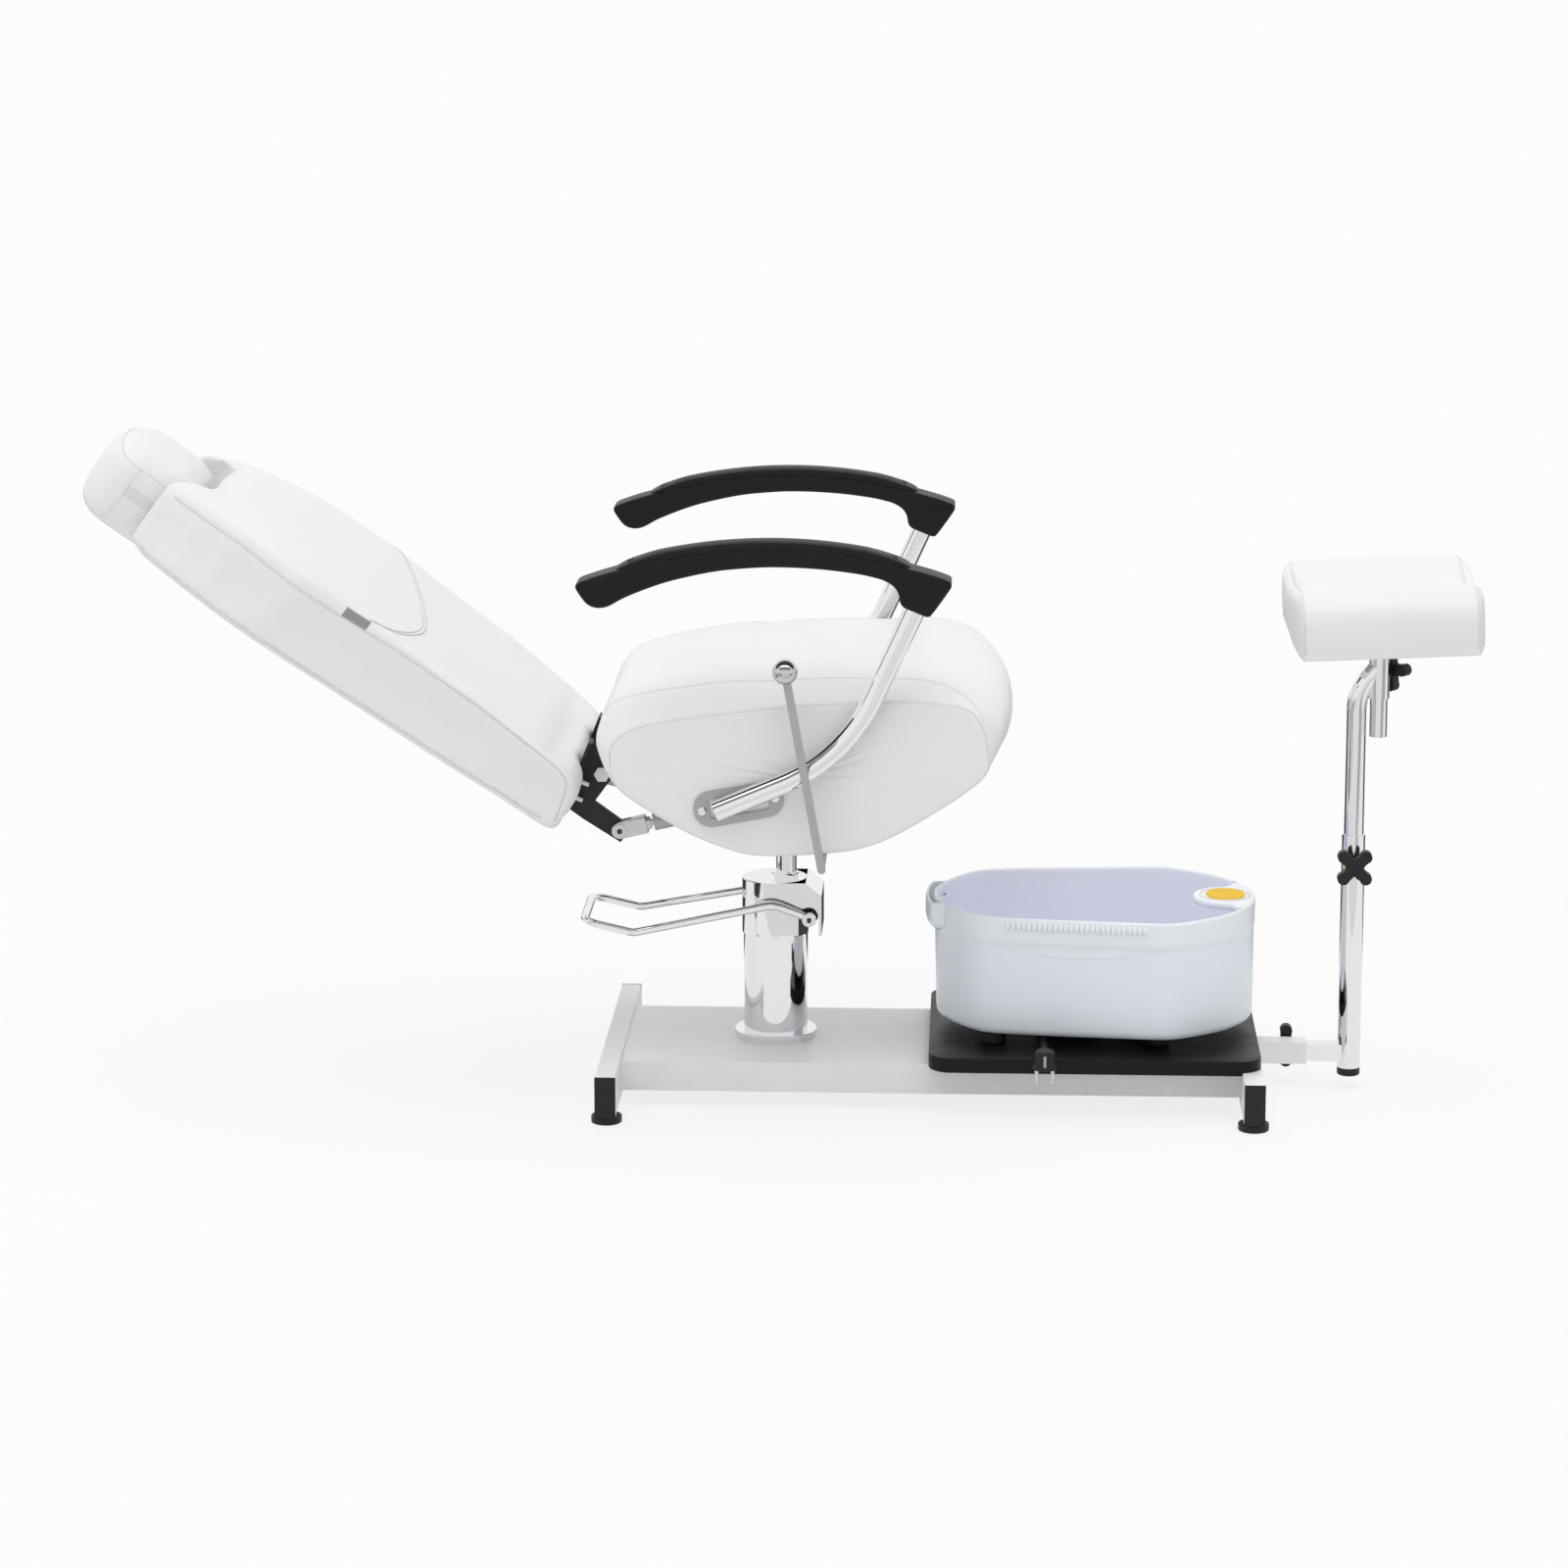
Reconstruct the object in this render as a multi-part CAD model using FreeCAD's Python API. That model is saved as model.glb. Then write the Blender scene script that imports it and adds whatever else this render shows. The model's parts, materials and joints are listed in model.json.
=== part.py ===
"""Pedicure spa chair: a reclining seat on a pump, a foot bath on its tray and an adjustable leg rest.

Millimetres, +Z up, +X towards the leg rest, -Y towards the side with the release lever.
The origin is on the floor below the middle of the pump column.
"""

import FreeCAD, Part
import math
import os

V = FreeCAD.Vector
X_AXIS = V(1, 0, 0)
Y_AXIS = V(0, 1, 0)
Z_AXIS = V(0, 0, 1)

# Fits
running_gap = 0.05
clear_gap = 0.3
loose_gap = 1.0

# Padding: the shares of a half width at which a padded section is drawn
soft_power = 5.0
soft_shares = [0.35, 0.65, 0.85, 0.94, 0.985, 1.0]

# Base
foot_height = 11.0
foot_radius = 18.5
foot_stud_radius = 4.0
foot_inset = 24.0
crossbar_width = 25.0
crossbar_height = 50.0
crossbar_length = 430.0
crossbar_wall = 2.0
rear_crossbar_x = -194.5
front_crossbar_x = 578.0
cap_flange = 2.5
cap_plug_depth = 12.0
beam_width = 250.0
beam_drop = 4.0
beam_depth = 37.0
beam_sheet = 1.5

# Bath tray
tray_length = 399.0
tray_width = 326.0
tray_thickness = 18.0
tray_corner_radius = 28.0
tray_front_gap = 1.5
tray_edge_round = 1.5
tray_screw_inset_x = 70.0
tray_screw_spacing_y = 180.0
tray_screw_radius = 3.0
tray_screw_head_radius = 5.5
tray_screw_head_height = 3.5

# Pump
flange_radius = 50.5
flange_height = 10.0
flange_bolt_circle = 42.0
flange_bolt_radius = 4.0
flange_bolt_head_radius = 6.5
flange_bolt_head_height = 5.0
pump_radius = 39.3
pump_wall = 3.0
pump_cylinder_height = 122.0
pump_head_radius = 41.0
pump_head_height = 69.0
piston_radius = 12.4
piston_offset = 13.0
piston_floor_gap = 3.0
piston_crown_radius = 14.0
seat_travel = 130.0
piston_crown_height = 10.0
pressure_tube_wall = 3.0
wiper_radius = 15.0
wiper_height = 6.0
filler_hole_radius = 2.0
filler_hole_depth = 8.0
filler_hole_x = -4.0
filler_hole_y = 14.0
shield_rear_x = -22.0
shield_sheet = 2.5
shield_reach = 57.6
shield_slant_x = 38.0
shield_slant_drop = 15.0
shield_drop = 65.0
shield_leg = 3.6
shield_arch_radius = 11.7
shield_cheek_end_x = 29.5
block_half_width = 33.0
block_x = 27.5
block_reach = 13.0
block_height = 42.0
block_lug_radius = 10.3

# Pump pedal
pedal_pivot_x = 43.0
pedal_pivot_height = 217.0
pedal_rod_radius = 5.0
pedal_eye_half_width = 47.5
pedal_eye_thickness = 12.0
pedal_eye_radius = 8.0
pedal_waist_half_width = 52.0
pedal_half_width = 65.0
pedal_crest_x = -1.0
pedal_crest_rise = 17.0
pedal_dip_x = -171.0
pedal_dip_fall = 16.0
pedal_end_x = -231.0
pedal_end_fall = 2.0
pedal_bend_radius = 30.0
pedal_corner_radius = 20.0
pedal_shaft_radius = 6.0
pedal_shaft_tip_radius = 5.0
pedal_bolt_head_radius = 8.5
pedal_bolt_head_height = 6.0
pedal_bolt_shank_radius = 3.0
pedal_bolt_shank_length = 12.0
pedal_bolt_socket_radius = 3.4
pedal_bolt_socket_depth = 4.0

# Seat
seat_bottom = 344.0
seat_half_width = 260.0
seat_rear_x = -199.0
seat_length = 487.0
seat_depth = 205.0
seat_edge_inset = 22.0
seat_bay_half_width = 92.0
seat_bay_front_x = 130.0
seat_bay_rear_x = -240.0
seat_notch_front_x = -160.0
seat_notch_height = 14.0
seat_board_rise = 87.0
seat_board_thickness = 15.0
seat_board_rear_x = -150.0
seat_board_front_x = 210.0
seat_board_half_width = 215.0
seat_frame_sheet = 4.0
seat_frame_half_width = 84.0
seat_frame_rear_x = -140.0
seat_frame_front_x = 120.0
seat_frame_side_rear_x = -143.0
seat_frame_side_rise = 5.0
seat_hub_radius = 21.0
seat_hub_rise = 2.0
seat_bolt_radius = 4.0
seat_bolt_head_radius = 7.0
seat_bolt_head_height = 5.0
seat_bolt_x_spacing = 180.0
seat_bolt_y_spacing = 60.0
seat_bolt_length = 14.0

# Armrests
arm_tube_radius = 12.5
arm_tube_wall = 1.5
arm_tube_low_x = -58.0
arm_tube_low_rise = 58.7
arm_tube_corner_x = 92.8
arm_tube_corner_rise = 122.7
arm_tube_top_x = 177.0
arm_tube_top_rise = 307.5
arm_tube_bend_radius = 200.0
arm_plate_length = 107.0
arm_plate_height = 43.0
arm_plate_thickness = 6.0
arm_plate_tilt = 11.0
arm_plate_x = -31.5
arm_plate_rise = 64.5
arm_slot_length = 70.0
arm_slot_height = 24.0
arm_weld_depth = 1.0
arm_screw_spacing = 87.0
arm_screw_radius = 2.5
arm_screw_head_radius = 5.5
arm_screw_head_height = 3.0
arm_screw_length = 18.0
arm_pad_width = 50.0
arm_pad_front_x = 215.4
arm_pad_back_x = -219.0
arm_pad_crest_rise = 371.0
arm_pad_middle_x = 9.0
arm_pad_top_radius = 610.0
arm_pad_under_radius = 395.0
arm_pad_thickness = 21.0
arm_pad_round = 6.0
arm_corner_round = 8.0
arm_heel_length = 40.0
arm_heel_lean = 12.0
arm_heel_rise = 3.0
arm_neck_length = 66.0
arm_lip_drop = 11.0
arm_socket_depth = 11.0
arm_socket_wall = 2.5
arm_grip_rise = 9.0
arm_grip_width = 44.0
arm_grip_inset = 46.0
arm_grip_round = 4.0

# Backrest
recline_angle = 36.0
back_pivot_x = -207.0
back_pivot_rise = 55.0
back_bottom = 31.0
back_top = 629.0
back_end_slope = 0.25
back_end_round = 8.0
back_half_width = 210.0
back_foot_taper = 12.0
back_shoulder = 400.0
back_corner_half_width = 114.0
back_notch_depth = 56.0
back_notch_half_width = 104.0
back_notch_round = 30.0
back_lower_thickness = 61.0
back_upper_thickness = 98.0
back_crown = 24.0
back_crown_fall = 34.0
back_crown_place = 430.0
back_edge_round = 20.0
back_section_count = 7
back_board_thickness = 15.0
back_board_margin = 30.0
back_board_inset = 2.0
back_board_cover = 6.0
back_rail_height = 54.0
back_rail_width = 22.0
back_stud_grip = 16.0
back_tag_width = 33.0
back_tag_start = 12.0
back_tag_sweep = 55.0
back_tag_thickness = 1.2
back_tag_place = 352.0
bracket_y = 63.0
bracket_thickness = 6.0
bracket_flange_thickness = 5.0
bracket_flange_gap = 3.0
bracket_flange_top = 27.0
bracket_flange_bottom = -59.5
bracket_right_x = 12.6
bracket_crank_width = 25.0
bracket_crank_reach = 67.5
crank_pin_x = 58.0
crank_pin_drop = 43.5
crank_pin_radius = 4.0
crank_hole_radius = 8.0
crank_pin_head_radius = 8.5
crank_pin_head_height = 3.0
pivot_bolt_radius = 5.0
pivot_bolt_head_flats = 17.0
pivot_bolt_head_height = 6.4
ear_thickness = 5.0
ear_radius = 15.0
stud_radius = 3.0
stud_length = 15.0
stud_inset_low = 17.5
stud_inset_high = 49.0
stud_nut_flats = 10.0
stud_nut_height = 5.0

# Gas spring
gas_slope = 13.4
gas_length = 270.0
gas_radius = 11.0
gas_bore_radius = 8.6
gas_rod_radius = 4.0
gas_rod_end_gap = 30.0
gas_mouth_gap = 4.0
gas_guide_length = 12.0
gas_piston_length = 10.0
gas_eye_radius = 9.0
gas_eye_width = 12.0
gas_pin_radius = 4.0
fork_width = 21.0
fork_slot = 9.0
fork_slot_depth = 16.0
fork_eye_radius = 10.5
fork_length = 33.0
lock_nut_flats = 14.0
lock_nut_height = 5.0

# Release lever
lever_shaft_x = 66.0
lever_shaft_drop = 3.0
lever_shaft_radius = 4.5
lever_y = 297.0
lever_bar_width = 9.5
lever_bar_thickness = 5.0
lever_lean_x = -42.0
lever_length_z = 231.0
lever_tail = 7.0
lever_ball_radius = 15.0
lever_shaft_inner_y = 34.0
lever_tab_width = 26.0
lever_finger_length = 20.0
lever_finger_width = 7.0
lever_finger_thickness = 8.0

# Headrest
head_overlap = 41.0
head_length = 128.0
head_shoulder_length = 80.0
head_half_width = 96.0
head_flare = 8.0
head_corner_round = 14.0
head_outer_round = 45.0
head_outer_half_width = 42.0
head_top = -6.0
head_thickness = 90.0
head_round = 12.0
head_post_radius = 5.0
head_post_spacing = 110.0
head_post_length = 150.0
head_post_grip = 30.0
head_post_travel = 15.0

# Leg rest
leg_slide_height = 44.2
sleeve_size = 27.0
sleeve_wall = 2.75
sleeve_length = 61.5
slide_tube_size = 21.0
slide_tube_wall = 1.5
slide_tube_tail_x = 420.0
pole_x = 704.5
pole_radius = 14.0
pole_wall = 2.0
pole_bottom = 25.0
pole_top = 318.0
pole_cap_thickness = 10.0
pole_cap_plug = 8.0
post_bottom = 150.0
post_bend_z = 495.0
post_wall = 1.5
post_bend_radius = 60.0
socket_reach = 26.5
socket_meet_z = 527.0
socket_radius = 12.5
socket_bottom = 487.5
socket_top = 546.0
stem_bottom = 440.0
stem_radius = 10.6
leg_plate_thickness = 4.0
leg_collar_radius = 16.0
leg_collar_height = 10.0
leg_plate_length = 140.0
leg_plate_width = 90.0
leg_cushion_length = 222.0
leg_cushion_center_x = 733.5
leg_cushion_half_width = 150.0
leg_cushion_height = 78.0
leg_cushion_bottom = 562.0
leg_cushion_tilt = 2.6
leg_lobe_y = 100.0
leg_valley_drop = 30.0
leg_end_inset = 14.0

# Clamp knobs
knob_reach = 19.0
knob_lobe_radius = 7.4
knob_waist_radius = 10.5
knob_thickness = 12.0
knob_boss_radius = 8.0
knob_boss_length = 5.0
knob_stud_radius = 3.0
height_knob_z = 282.0
height_knob_turn = 45.0
slide_knob_turn = 0.0
cushion_knob_turn = 45.0
slide_knob_x = 629.0
cushion_knob_z = 519.0
cushion_knob_heading = 50.0

# Foot bath
bath_floor_gap = 15.0
bath_height = 150.0
bath_wall = 3.0
bath_floor = 3.0
bath_rear_x = 195.0
bath_rear_half_width = 46.0
bath_heel_x = 252.0
bath_heel_half_width = 121.0
bath_toe_x = 478.0
bath_toe_half_width = 150.0
bath_front_x = 587.0
bath_front_half_width = 40.0
bath_draft = 16.0
bath_corner_radius = 34.0
bath_lip_reach = 12.0
bath_lip_half_width = 52.0
bath_lip_depth = 34.0
bath_lip_round = 8.0
peninsula_tip_x = 509.0
peninsula_tip_radius = 14.0
peninsula_depth = 40.0
bath_foot_radius = 16.0
bath_foot_rear_x = 267.0
bath_foot_front_x = 466.0
bath_foot_y = 86.0
inlay_x = 550.0
inlay_length = 47.0
inlay_width = 56.0
inlay_rise = 1.5
inlay_depth = 3.0

# Mains lead
cord_radius = 3.0
cord_coil_radius = 33.0
cord_coil_width = 24.0
cord_coil_height = 12.4
cord_coil_x = 362.0
cord_coil_y = 0.0
cord_gland_x = 420.0
cord_gland_length = 22.0
cord_gland_radius = 6.0
cord_bend_share = 0.45
plug_x = 329.0
plug_y = -181.0
plug_bottom = 70.0
plug_width = 30.0
plug_depth = 34.0
plug_height = 22.0
plug_round = 6.0
plug_arm_width = 17.0
plug_arm_height = 12.0
plug_arm_end_y = -100.0
plug_pin_radius = 2.4
plug_pin_length = 19.0
plug_pin_spacing = 19.0

# Heights and places that follow from the sizes above
crossbar_top = foot_height + crossbar_height
beam_top = crossbar_top - beam_drop
beam_bottom = beam_top - beam_depth
rear_beam_x = rear_crossbar_x + crossbar_width / 2
front_beam_x = front_crossbar_x - crossbar_width / 2
tray_top = beam_top + tray_thickness
tray_front_x = front_crossbar_x + crossbar_width / 2 - tray_front_gap
tray_rear_x = tray_front_x - tray_length
flange_top = beam_top + flange_height
pump_head_bottom = flange_top + pump_cylinder_height
pump_head_top = pump_head_bottom + pump_head_height
piston_bottom = flange_top + piston_floor_gap
sleeve_x = front_crossbar_x + crossbar_width / 2
bath_bottom = tray_top + bath_floor_gap
bath_top = bath_bottom + bath_height
post_radius = pole_radius - pole_wall - 2 * running_gap
arm_y = seat_half_width + clear_gap + arm_plate_thickness + arm_tube_radius - arm_weld_depth
cord_z = tray_top + clear_gap + cord_radius + 3.1
head_inner = back_top - head_overlap
head_outer = head_inner + head_length
head_shoulder = head_inner + head_shoulder_length
socket_x = pole_x + socket_reach
gas_mouth = fork_length + lock_nut_height + gas_mouth_gap
bracket_flange_width = seat_bay_half_width - bracket_y - bracket_flange_gap
seat_board_bottom = seat_bottom + seat_board_rise
piston_top = seat_board_bottom - seat_frame_sheet - loose_gap
seat_frame_side_bottom = seat_bottom + seat_frame_side_rise
seat_hub_bottom = seat_bottom + seat_hub_rise
arm_tube_low_z = seat_bottom + arm_tube_low_rise
arm_tube_corner_z = seat_bottom + arm_tube_corner_rise
arm_tube_top_z = seat_bottom + arm_tube_top_rise
arm_plate_z = seat_bottom + arm_plate_rise
arm_pad_crest_z = seat_bottom + arm_pad_crest_rise
lever_shaft_height = seat_bottom - lever_shaft_drop
back_pivot_height = seat_bottom + back_pivot_rise
PIVOT = V(back_pivot_x, 0, back_pivot_height)


def box(x0, x1, y0, y1, z0, z1):
    """A box between two corners."""
    return Part.makeBox(x1 - x0, y1 - y0, z1 - z0, V(x0, y0, z0))


def rod(start, end, radius):
    """A round bar from start to end."""
    line = end - start
    return Part.makeCylinder(radius, line.Length, start, line)


def pipe_between(start, end, radius, wall):
    """A round tube with open ends."""
    return rod(start, end, radius).cut(rod(start, end, radius - wall))


def upright(x, y, z0, z1, radius):
    """A round bar along Z."""
    return rod(V(x, y, z0), V(x, y, z1), radius)


def crosswise(x, z, y0, y1, radius):
    """A round bar along Y."""
    return rod(V(x, y0, z), V(x, y1, z), radius)


def hex_bar(start, direction, flats, length):
    """A hexagonal bar; flats is the width across two opposite sides."""
    side = flats / math.sqrt(3)
    corners = [V(side * math.cos(math.pi * i / 3), side * math.sin(math.pi * i / 3), 0) for i in range(7)]
    bar = Part.Face(Part.makePolygon(corners)).extrude(V(0, 0, length))
    bar.Placement = FreeCAD.Placement(start, FreeCAD.Rotation(Z_AXIS, direction))
    return bar


def rounded_edges(points, radii, closed=True):
    """Straight edges between points, with a tangent arc of the given radius at each point."""
    count = len(points)
    starts = []
    ends = []
    arcs = []
    for i, point in enumerate(points):
        radius = radii[i]
        if radius <= 0 or (not closed and i in (0, count - 1)):
            starts.append(point)
            ends.append(point)
            arcs.append(None)
            continue
        back = (points[i - 1] - point).normalize()
        ahead = (points[(i + 1) % count] - point).normalize()
        half = back.getAngle(ahead) / 2
        reach = radius / math.tan(half)
        start = point + back * reach
        end = point + ahead * reach
        centre = point + (back + ahead).normalize() * (radius / math.sin(half))
        middle = centre + (point - centre).normalize() * radius
        starts.append(start)
        ends.append(end)
        arcs.append(Part.Arc(start, middle, end).toShape())
    edges = []
    for i in range(count if closed else count - 1):
        if arcs[i] is not None:
            edges.append(arcs[i])
        following = starts[(i + 1) % count]
        if (following - ends[i]).Length > 1e-6:
            edges.append(Part.LineSegment(ends[i], following).toShape())
    return edges


def rounded_face(points, radii):
    """A flat face bounded by rounded_edges."""
    if not isinstance(radii, (list, tuple)):
        radii = [radii] * len(points)
    return Part.Face(Part.Wire(rounded_edges(points, radii)))


def side_plate(points, radii, y0, y1):
    """A plate with an outline of (x, z) points, from y0 to y1."""
    return rounded_face([V(x, y0, z) for x, z in points], radii).extrude(V(0, y1 - y0, 0))


def floor_plate(points, radii, z0, z1):
    """A plate with an outline of (x, y) points, from z0 to z1."""
    return rounded_face([V(x, y, z0) for x, y in points], radii).extrude(V(0, 0, z1 - z0))


def bent_bar(points, radii, radius):
    """A round bar along straight runs joined by tangent arcs."""
    path = Part.Wire(rounded_edges(points, radii, closed=False))
    section = Part.Wire(Part.makeCircle(radius, points[0], points[1] - points[0]))
    return path.makePipeShell([section], True, False)


def smooth_wire(points):
    """A closed smooth curve through the points."""
    curve = Part.BSplineCurve()
    curve.interpolate(points, PeriodicFlag=True)
    return Part.Wire(curve.toShape())


def filleted(shape, radius, keep):
    """The shape with its edges rounded where keep(edge) holds."""
    edges = [edge for edge in shape.Edges if keep(edge)]
    return shape.makeFillet(radius, edges)


def both_sides(make):
    """Two mirrored solids, on the -Y and the +Y side."""
    near = make(-1)
    far = make(1)
    return Part.makeCompound([near, far])


def save(shape, name):
    """Writes one named piece after checking that its solids are whole."""
    solids = shape.Solids
    if not solids or not all(solid.isValid() for solid in solids):
        raise ValueError("bad solid in " + name)
    kept = solids[0] if len(solids) == 1 else Part.makeCompound(solids)
    kept.exportStep("parts/" + name + ".step")


def square_tube(x0, x1, z, size, wall):
    """A square tube along X, centred on Y = 0 and on height z."""
    half = size / 2
    bore = half - wall
    return box(x0, x1, -half, half, z - half, z + half).cut(box(x0, x1, -bore, bore, z - bore, z + bore))


# Base frame


def crossbar(x, opening):
    """A rectangular tube across the chair, open for the leg rest's slide tube where opening holds."""
    x0 = x - crossbar_width / 2
    x1 = x + crossbar_width / 2
    half = crossbar_length / 2 - cap_flange
    bar = box(x0, x1, -half, half, foot_height, crossbar_top)
    bar = filleted(bar, crossbar_wall, lambda e: abs(e.tangentAt(e.FirstParameter).y) > 0.9)
    inside = box(
        x0 + crossbar_wall, x1 - crossbar_wall, -half, half, foot_height + crossbar_wall,
        crossbar_top - crossbar_wall
    )
    bar = bar.cut(inside)
    for side in (-1, 1):
        y = side * (crossbar_length / 2 - foot_inset)
        bar = bar.cut(upright(x, y, foot_height - 1, foot_height + crossbar_wall + 1, foot_stud_radius))
    if opening:
        hole = slide_tube_size / 2 + clear_gap
        bar = bar.cut(box(x0 - 1, x1 + 1, -hole, hole, leg_slide_height - hole, leg_slide_height + hole))
    return bar


def base_beam():
    """A folded sheet channel, open below, between the two crossbars."""
    half = beam_width / 2
    outer = box(rear_beam_x, front_beam_x, -half, half, beam_bottom, beam_top)
    inner = box(
        rear_beam_x, front_beam_x, -half + beam_sheet, half - beam_sheet, beam_bottom - 1,
        beam_top - beam_sheet
    )
    beam = outer.cut(inner)
    for x, y in flange_bolt_places():
        beam = beam.cut(upright(x, y, beam_top - beam_sheet - 1, beam_top + 1, flange_bolt_radius))
    for x, y in tray_screw_places():
        beam = beam.cut(upright(x, y, beam_top - beam_sheet - 1, beam_top + 1, tray_screw_radius))
    return beam


def end_cap(x, side):
    """A plastic cap with a plug that fills the mouth of a crossbar."""
    outer = side * crossbar_length / 2
    inner = side * (crossbar_length / 2 - cap_flange)
    deep = side * (crossbar_length / 2 - cap_flange - cap_plug_depth)
    half = crossbar_width / 2
    plug = half - crossbar_wall
    cap = box(x - half, x + half, min(outer, inner), max(outer, inner), foot_height, crossbar_top)
    return cap.fuse(
        box(
            x - plug,
            x + plug,
            min(inner, deep),
            max(inner, deep),
            foot_height + crossbar_wall,
            crossbar_top - crossbar_wall,
        )
    )


def levelling_foot(x, side):
    """A plastic foot with its threaded stud."""
    y = side * (crossbar_length / 2 - foot_inset)
    pad = upright(x, y, 0, foot_height - 2, foot_radius)
    pad = filleted(pad, 1.5, lambda e: True)
    neck = upright(x, y, foot_height - 2, foot_height, foot_radius * 0.5)
    stud = upright(x, y, foot_height, foot_height + crossbar_wall + 12, foot_stud_radius)
    return pad.fuse([neck, stud])


def flange_bolt_places():
    """The middles of the four bolts that hold the pump down."""
    return [
        (
            flange_bolt_circle * math.cos(math.radians(45 + 90 * i)),
            flange_bolt_circle * math.sin(math.radians(45 + 90 * i)),
        )
        for i in range(4)
    ]


def tray_screw_places():
    """The middles of the four screws that hold the tray down."""
    return [
        (x, side * tray_screw_spacing_y / 2)
        for x in (tray_rear_x + tray_screw_inset_x, tray_front_x - tray_screw_inset_x)
        for side in (-1, 1)
    ]


def bolt_from_below(x, y, face, length, radius, head_radius, head_height):
    """A bolt whose head bears on the underside at height face."""
    head = upright(x, y, face - head_height, face, head_radius)
    return head.fuse(upright(x, y, face, face + length, radius))


def bath_tray():
    """The board that carries the foot bath."""
    half = tray_width / 2
    corners = [(tray_rear_x, -half), (tray_front_x, -half), (tray_front_x, half), (tray_rear_x, half)]
    board = floor_plate(corners, tray_corner_radius, beam_top, tray_top)
    board = filleted(board, tray_edge_round, lambda e: abs(e.tangentAt(e.FirstParameter).z) < 0.1)
    for x, y in tray_screw_places():
        board = board.cut(upright(x, y, beam_top - 1, beam_top + tray_thickness * 0.7, tray_screw_radius))
    rebate = box(
        front_beam_x - clear_gap, tray_front_x + 1, -half - 1, half + 1, beam_top - 1,
        crossbar_top + clear_gap
    )
    return board.cut(rebate)


# Pump


def pump_flange():
    flange = upright(0, 0, beam_top, flange_top, flange_radius)
    flange = filleted(flange, 1.5, lambda e: e.CenterOfMass.z > flange_top - 1)
    for x, y in flange_bolt_places():
        flange = flange.cut(upright(x, y, beam_top - 1, beam_top + flange_height * 0.7, flange_bolt_radius))
    return flange


def pump_head():
    """The head of the pump, turned down where the chrome cover wraps it."""
    head = upright(0, 0, pump_head_bottom, pump_head_top, pump_head_radius)
    head = filleted(head, 1.5, lambda e: e.CenterOfMass.z > pump_head_top - 1)
    reach = pump_head_radius + 1
    waist = upright(0, 0, pump_head_bottom - 1, pump_head_top + 1, reach).cut(
        upright(0, 0, pump_head_bottom - 1, pump_head_top + 1, pump_head_radius - shield_sheet - running_gap)
    )
    waist = waist.common(
        box(shield_rear_x - clear_gap, reach, -reach, reach, pump_head_bottom - 1, pump_head_top + 1)
    )
    head = head.cut(waist)
    recess = box(
        block_x - clear_gap,
        reach,
        -block_half_width - clear_gap,
        block_half_width + clear_gap,
        pump_head_bottom - 1,
        pump_head_bottom + block_height + 4,
    )
    head = head.cut(recess)
    head = head.cut(
        upright(piston_offset, 0, pump_head_bottom - 1, pump_head_top + 1, piston_radius + running_gap)
    )
    crown_top = piston_bottom + piston_crown_height + seat_travel + loose_gap
    head = head.cut(
        upright(piston_offset, 0, pump_head_bottom - 1, crown_top, piston_crown_radius + clear_gap)
    )
    return head.cut(
        upright(
            filler_hole_x,
            filler_hole_y,
            pump_head_top - filler_hole_depth,
            pump_head_top + 1,
            filler_hole_radius,
        )
    )


def cover_plan(radius, reach, z0, z1):
    """A round end and a straight part tangent to it, seen from above."""
    return upright(0, 0, z0, z1, radius).fuse(box(0, reach, -radius, radius, z0, z1))


def pump_shield():
    """The bent chrome cover that wraps the head and shields the pedal shaft, with a cheek on each side."""
    top = pump_head_top
    low = pump_head_top - shield_drop
    half = pump_head_radius
    inner = half - shield_sheet
    cover = cover_plan(half, shield_reach, low, top)
    cover = cover.cut(cover_plan(inner, shield_reach - shield_leg, low - 1, top + 1))
    lid = [
        (shield_slant_x, top),
        (shield_reach, top - shield_slant_drop),
        (shield_reach, top - shield_slant_drop - shield_leg),
        (shield_slant_x, top - shield_leg),
    ]
    cover = cover.fuse(side_plate(lid, 0, -inner - 1, inner + 1))
    cover = cover.cut(upright(0, 0, low - 1, top + 1, inner))
    cover = cover.cut(box(-half - 1, shield_rear_x, -half - 1, half + 1, low - 1, top + 1))
    chip = [(shield_slant_x, top), (shield_reach + 1, top + 1), (shield_reach, top - shield_slant_drop)]
    cover = cover.cut(side_plate(chip, 0, -half - 1, half + 1))
    window_end = shield_reach - shield_leg
    window = box(shield_cheek_end_x, window_end, -half - 1, half + 1, low - 1, pedal_pivot_height)
    arch_x = (shield_cheek_end_x + window_end) / 2
    arch = crosswise(arch_x, pedal_pivot_height, -half - 1, half + 1, shield_arch_radius)
    return cover.cut(window).cut(arch)


def pump_block():
    """The cast body beside the head, with the lug for the pedal's shaft."""
    low = pump_head_bottom + 4
    block = box(
        block_x, block_x + block_reach, -block_half_width, block_half_width, low, low + block_height - 4
    )
    lug = crosswise(pedal_pivot_x, pedal_pivot_height, -block_half_width, block_half_width, block_lug_radius)
    block = block.fuse(lug)
    bore = crosswise(
        pedal_pivot_x,
        pedal_pivot_height,
        -block_half_width - 1,
        block_half_width + 1,
        pedal_shaft_radius + running_gap,
    )
    return block.cut(bore)


def piston_rod():
    """The chromed ram with its crown at the foot and a plain spigot for the seat hub."""
    bar = upright(piston_offset, 0, piston_bottom, piston_top, piston_radius)
    crown = upright(
        piston_offset, 0, piston_bottom, piston_bottom + piston_crown_height, piston_crown_radius
    )
    return bar.fuse(crown)


def pressure_tube():
    inner = piston_crown_radius + clear_gap
    outer = inner + pressure_tube_wall
    return upright(piston_offset, 0, flange_top, pump_head_bottom, outer).cut(
        upright(piston_offset, 0, flange_top - 1, pump_head_bottom + 1, inner)
    )


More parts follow.
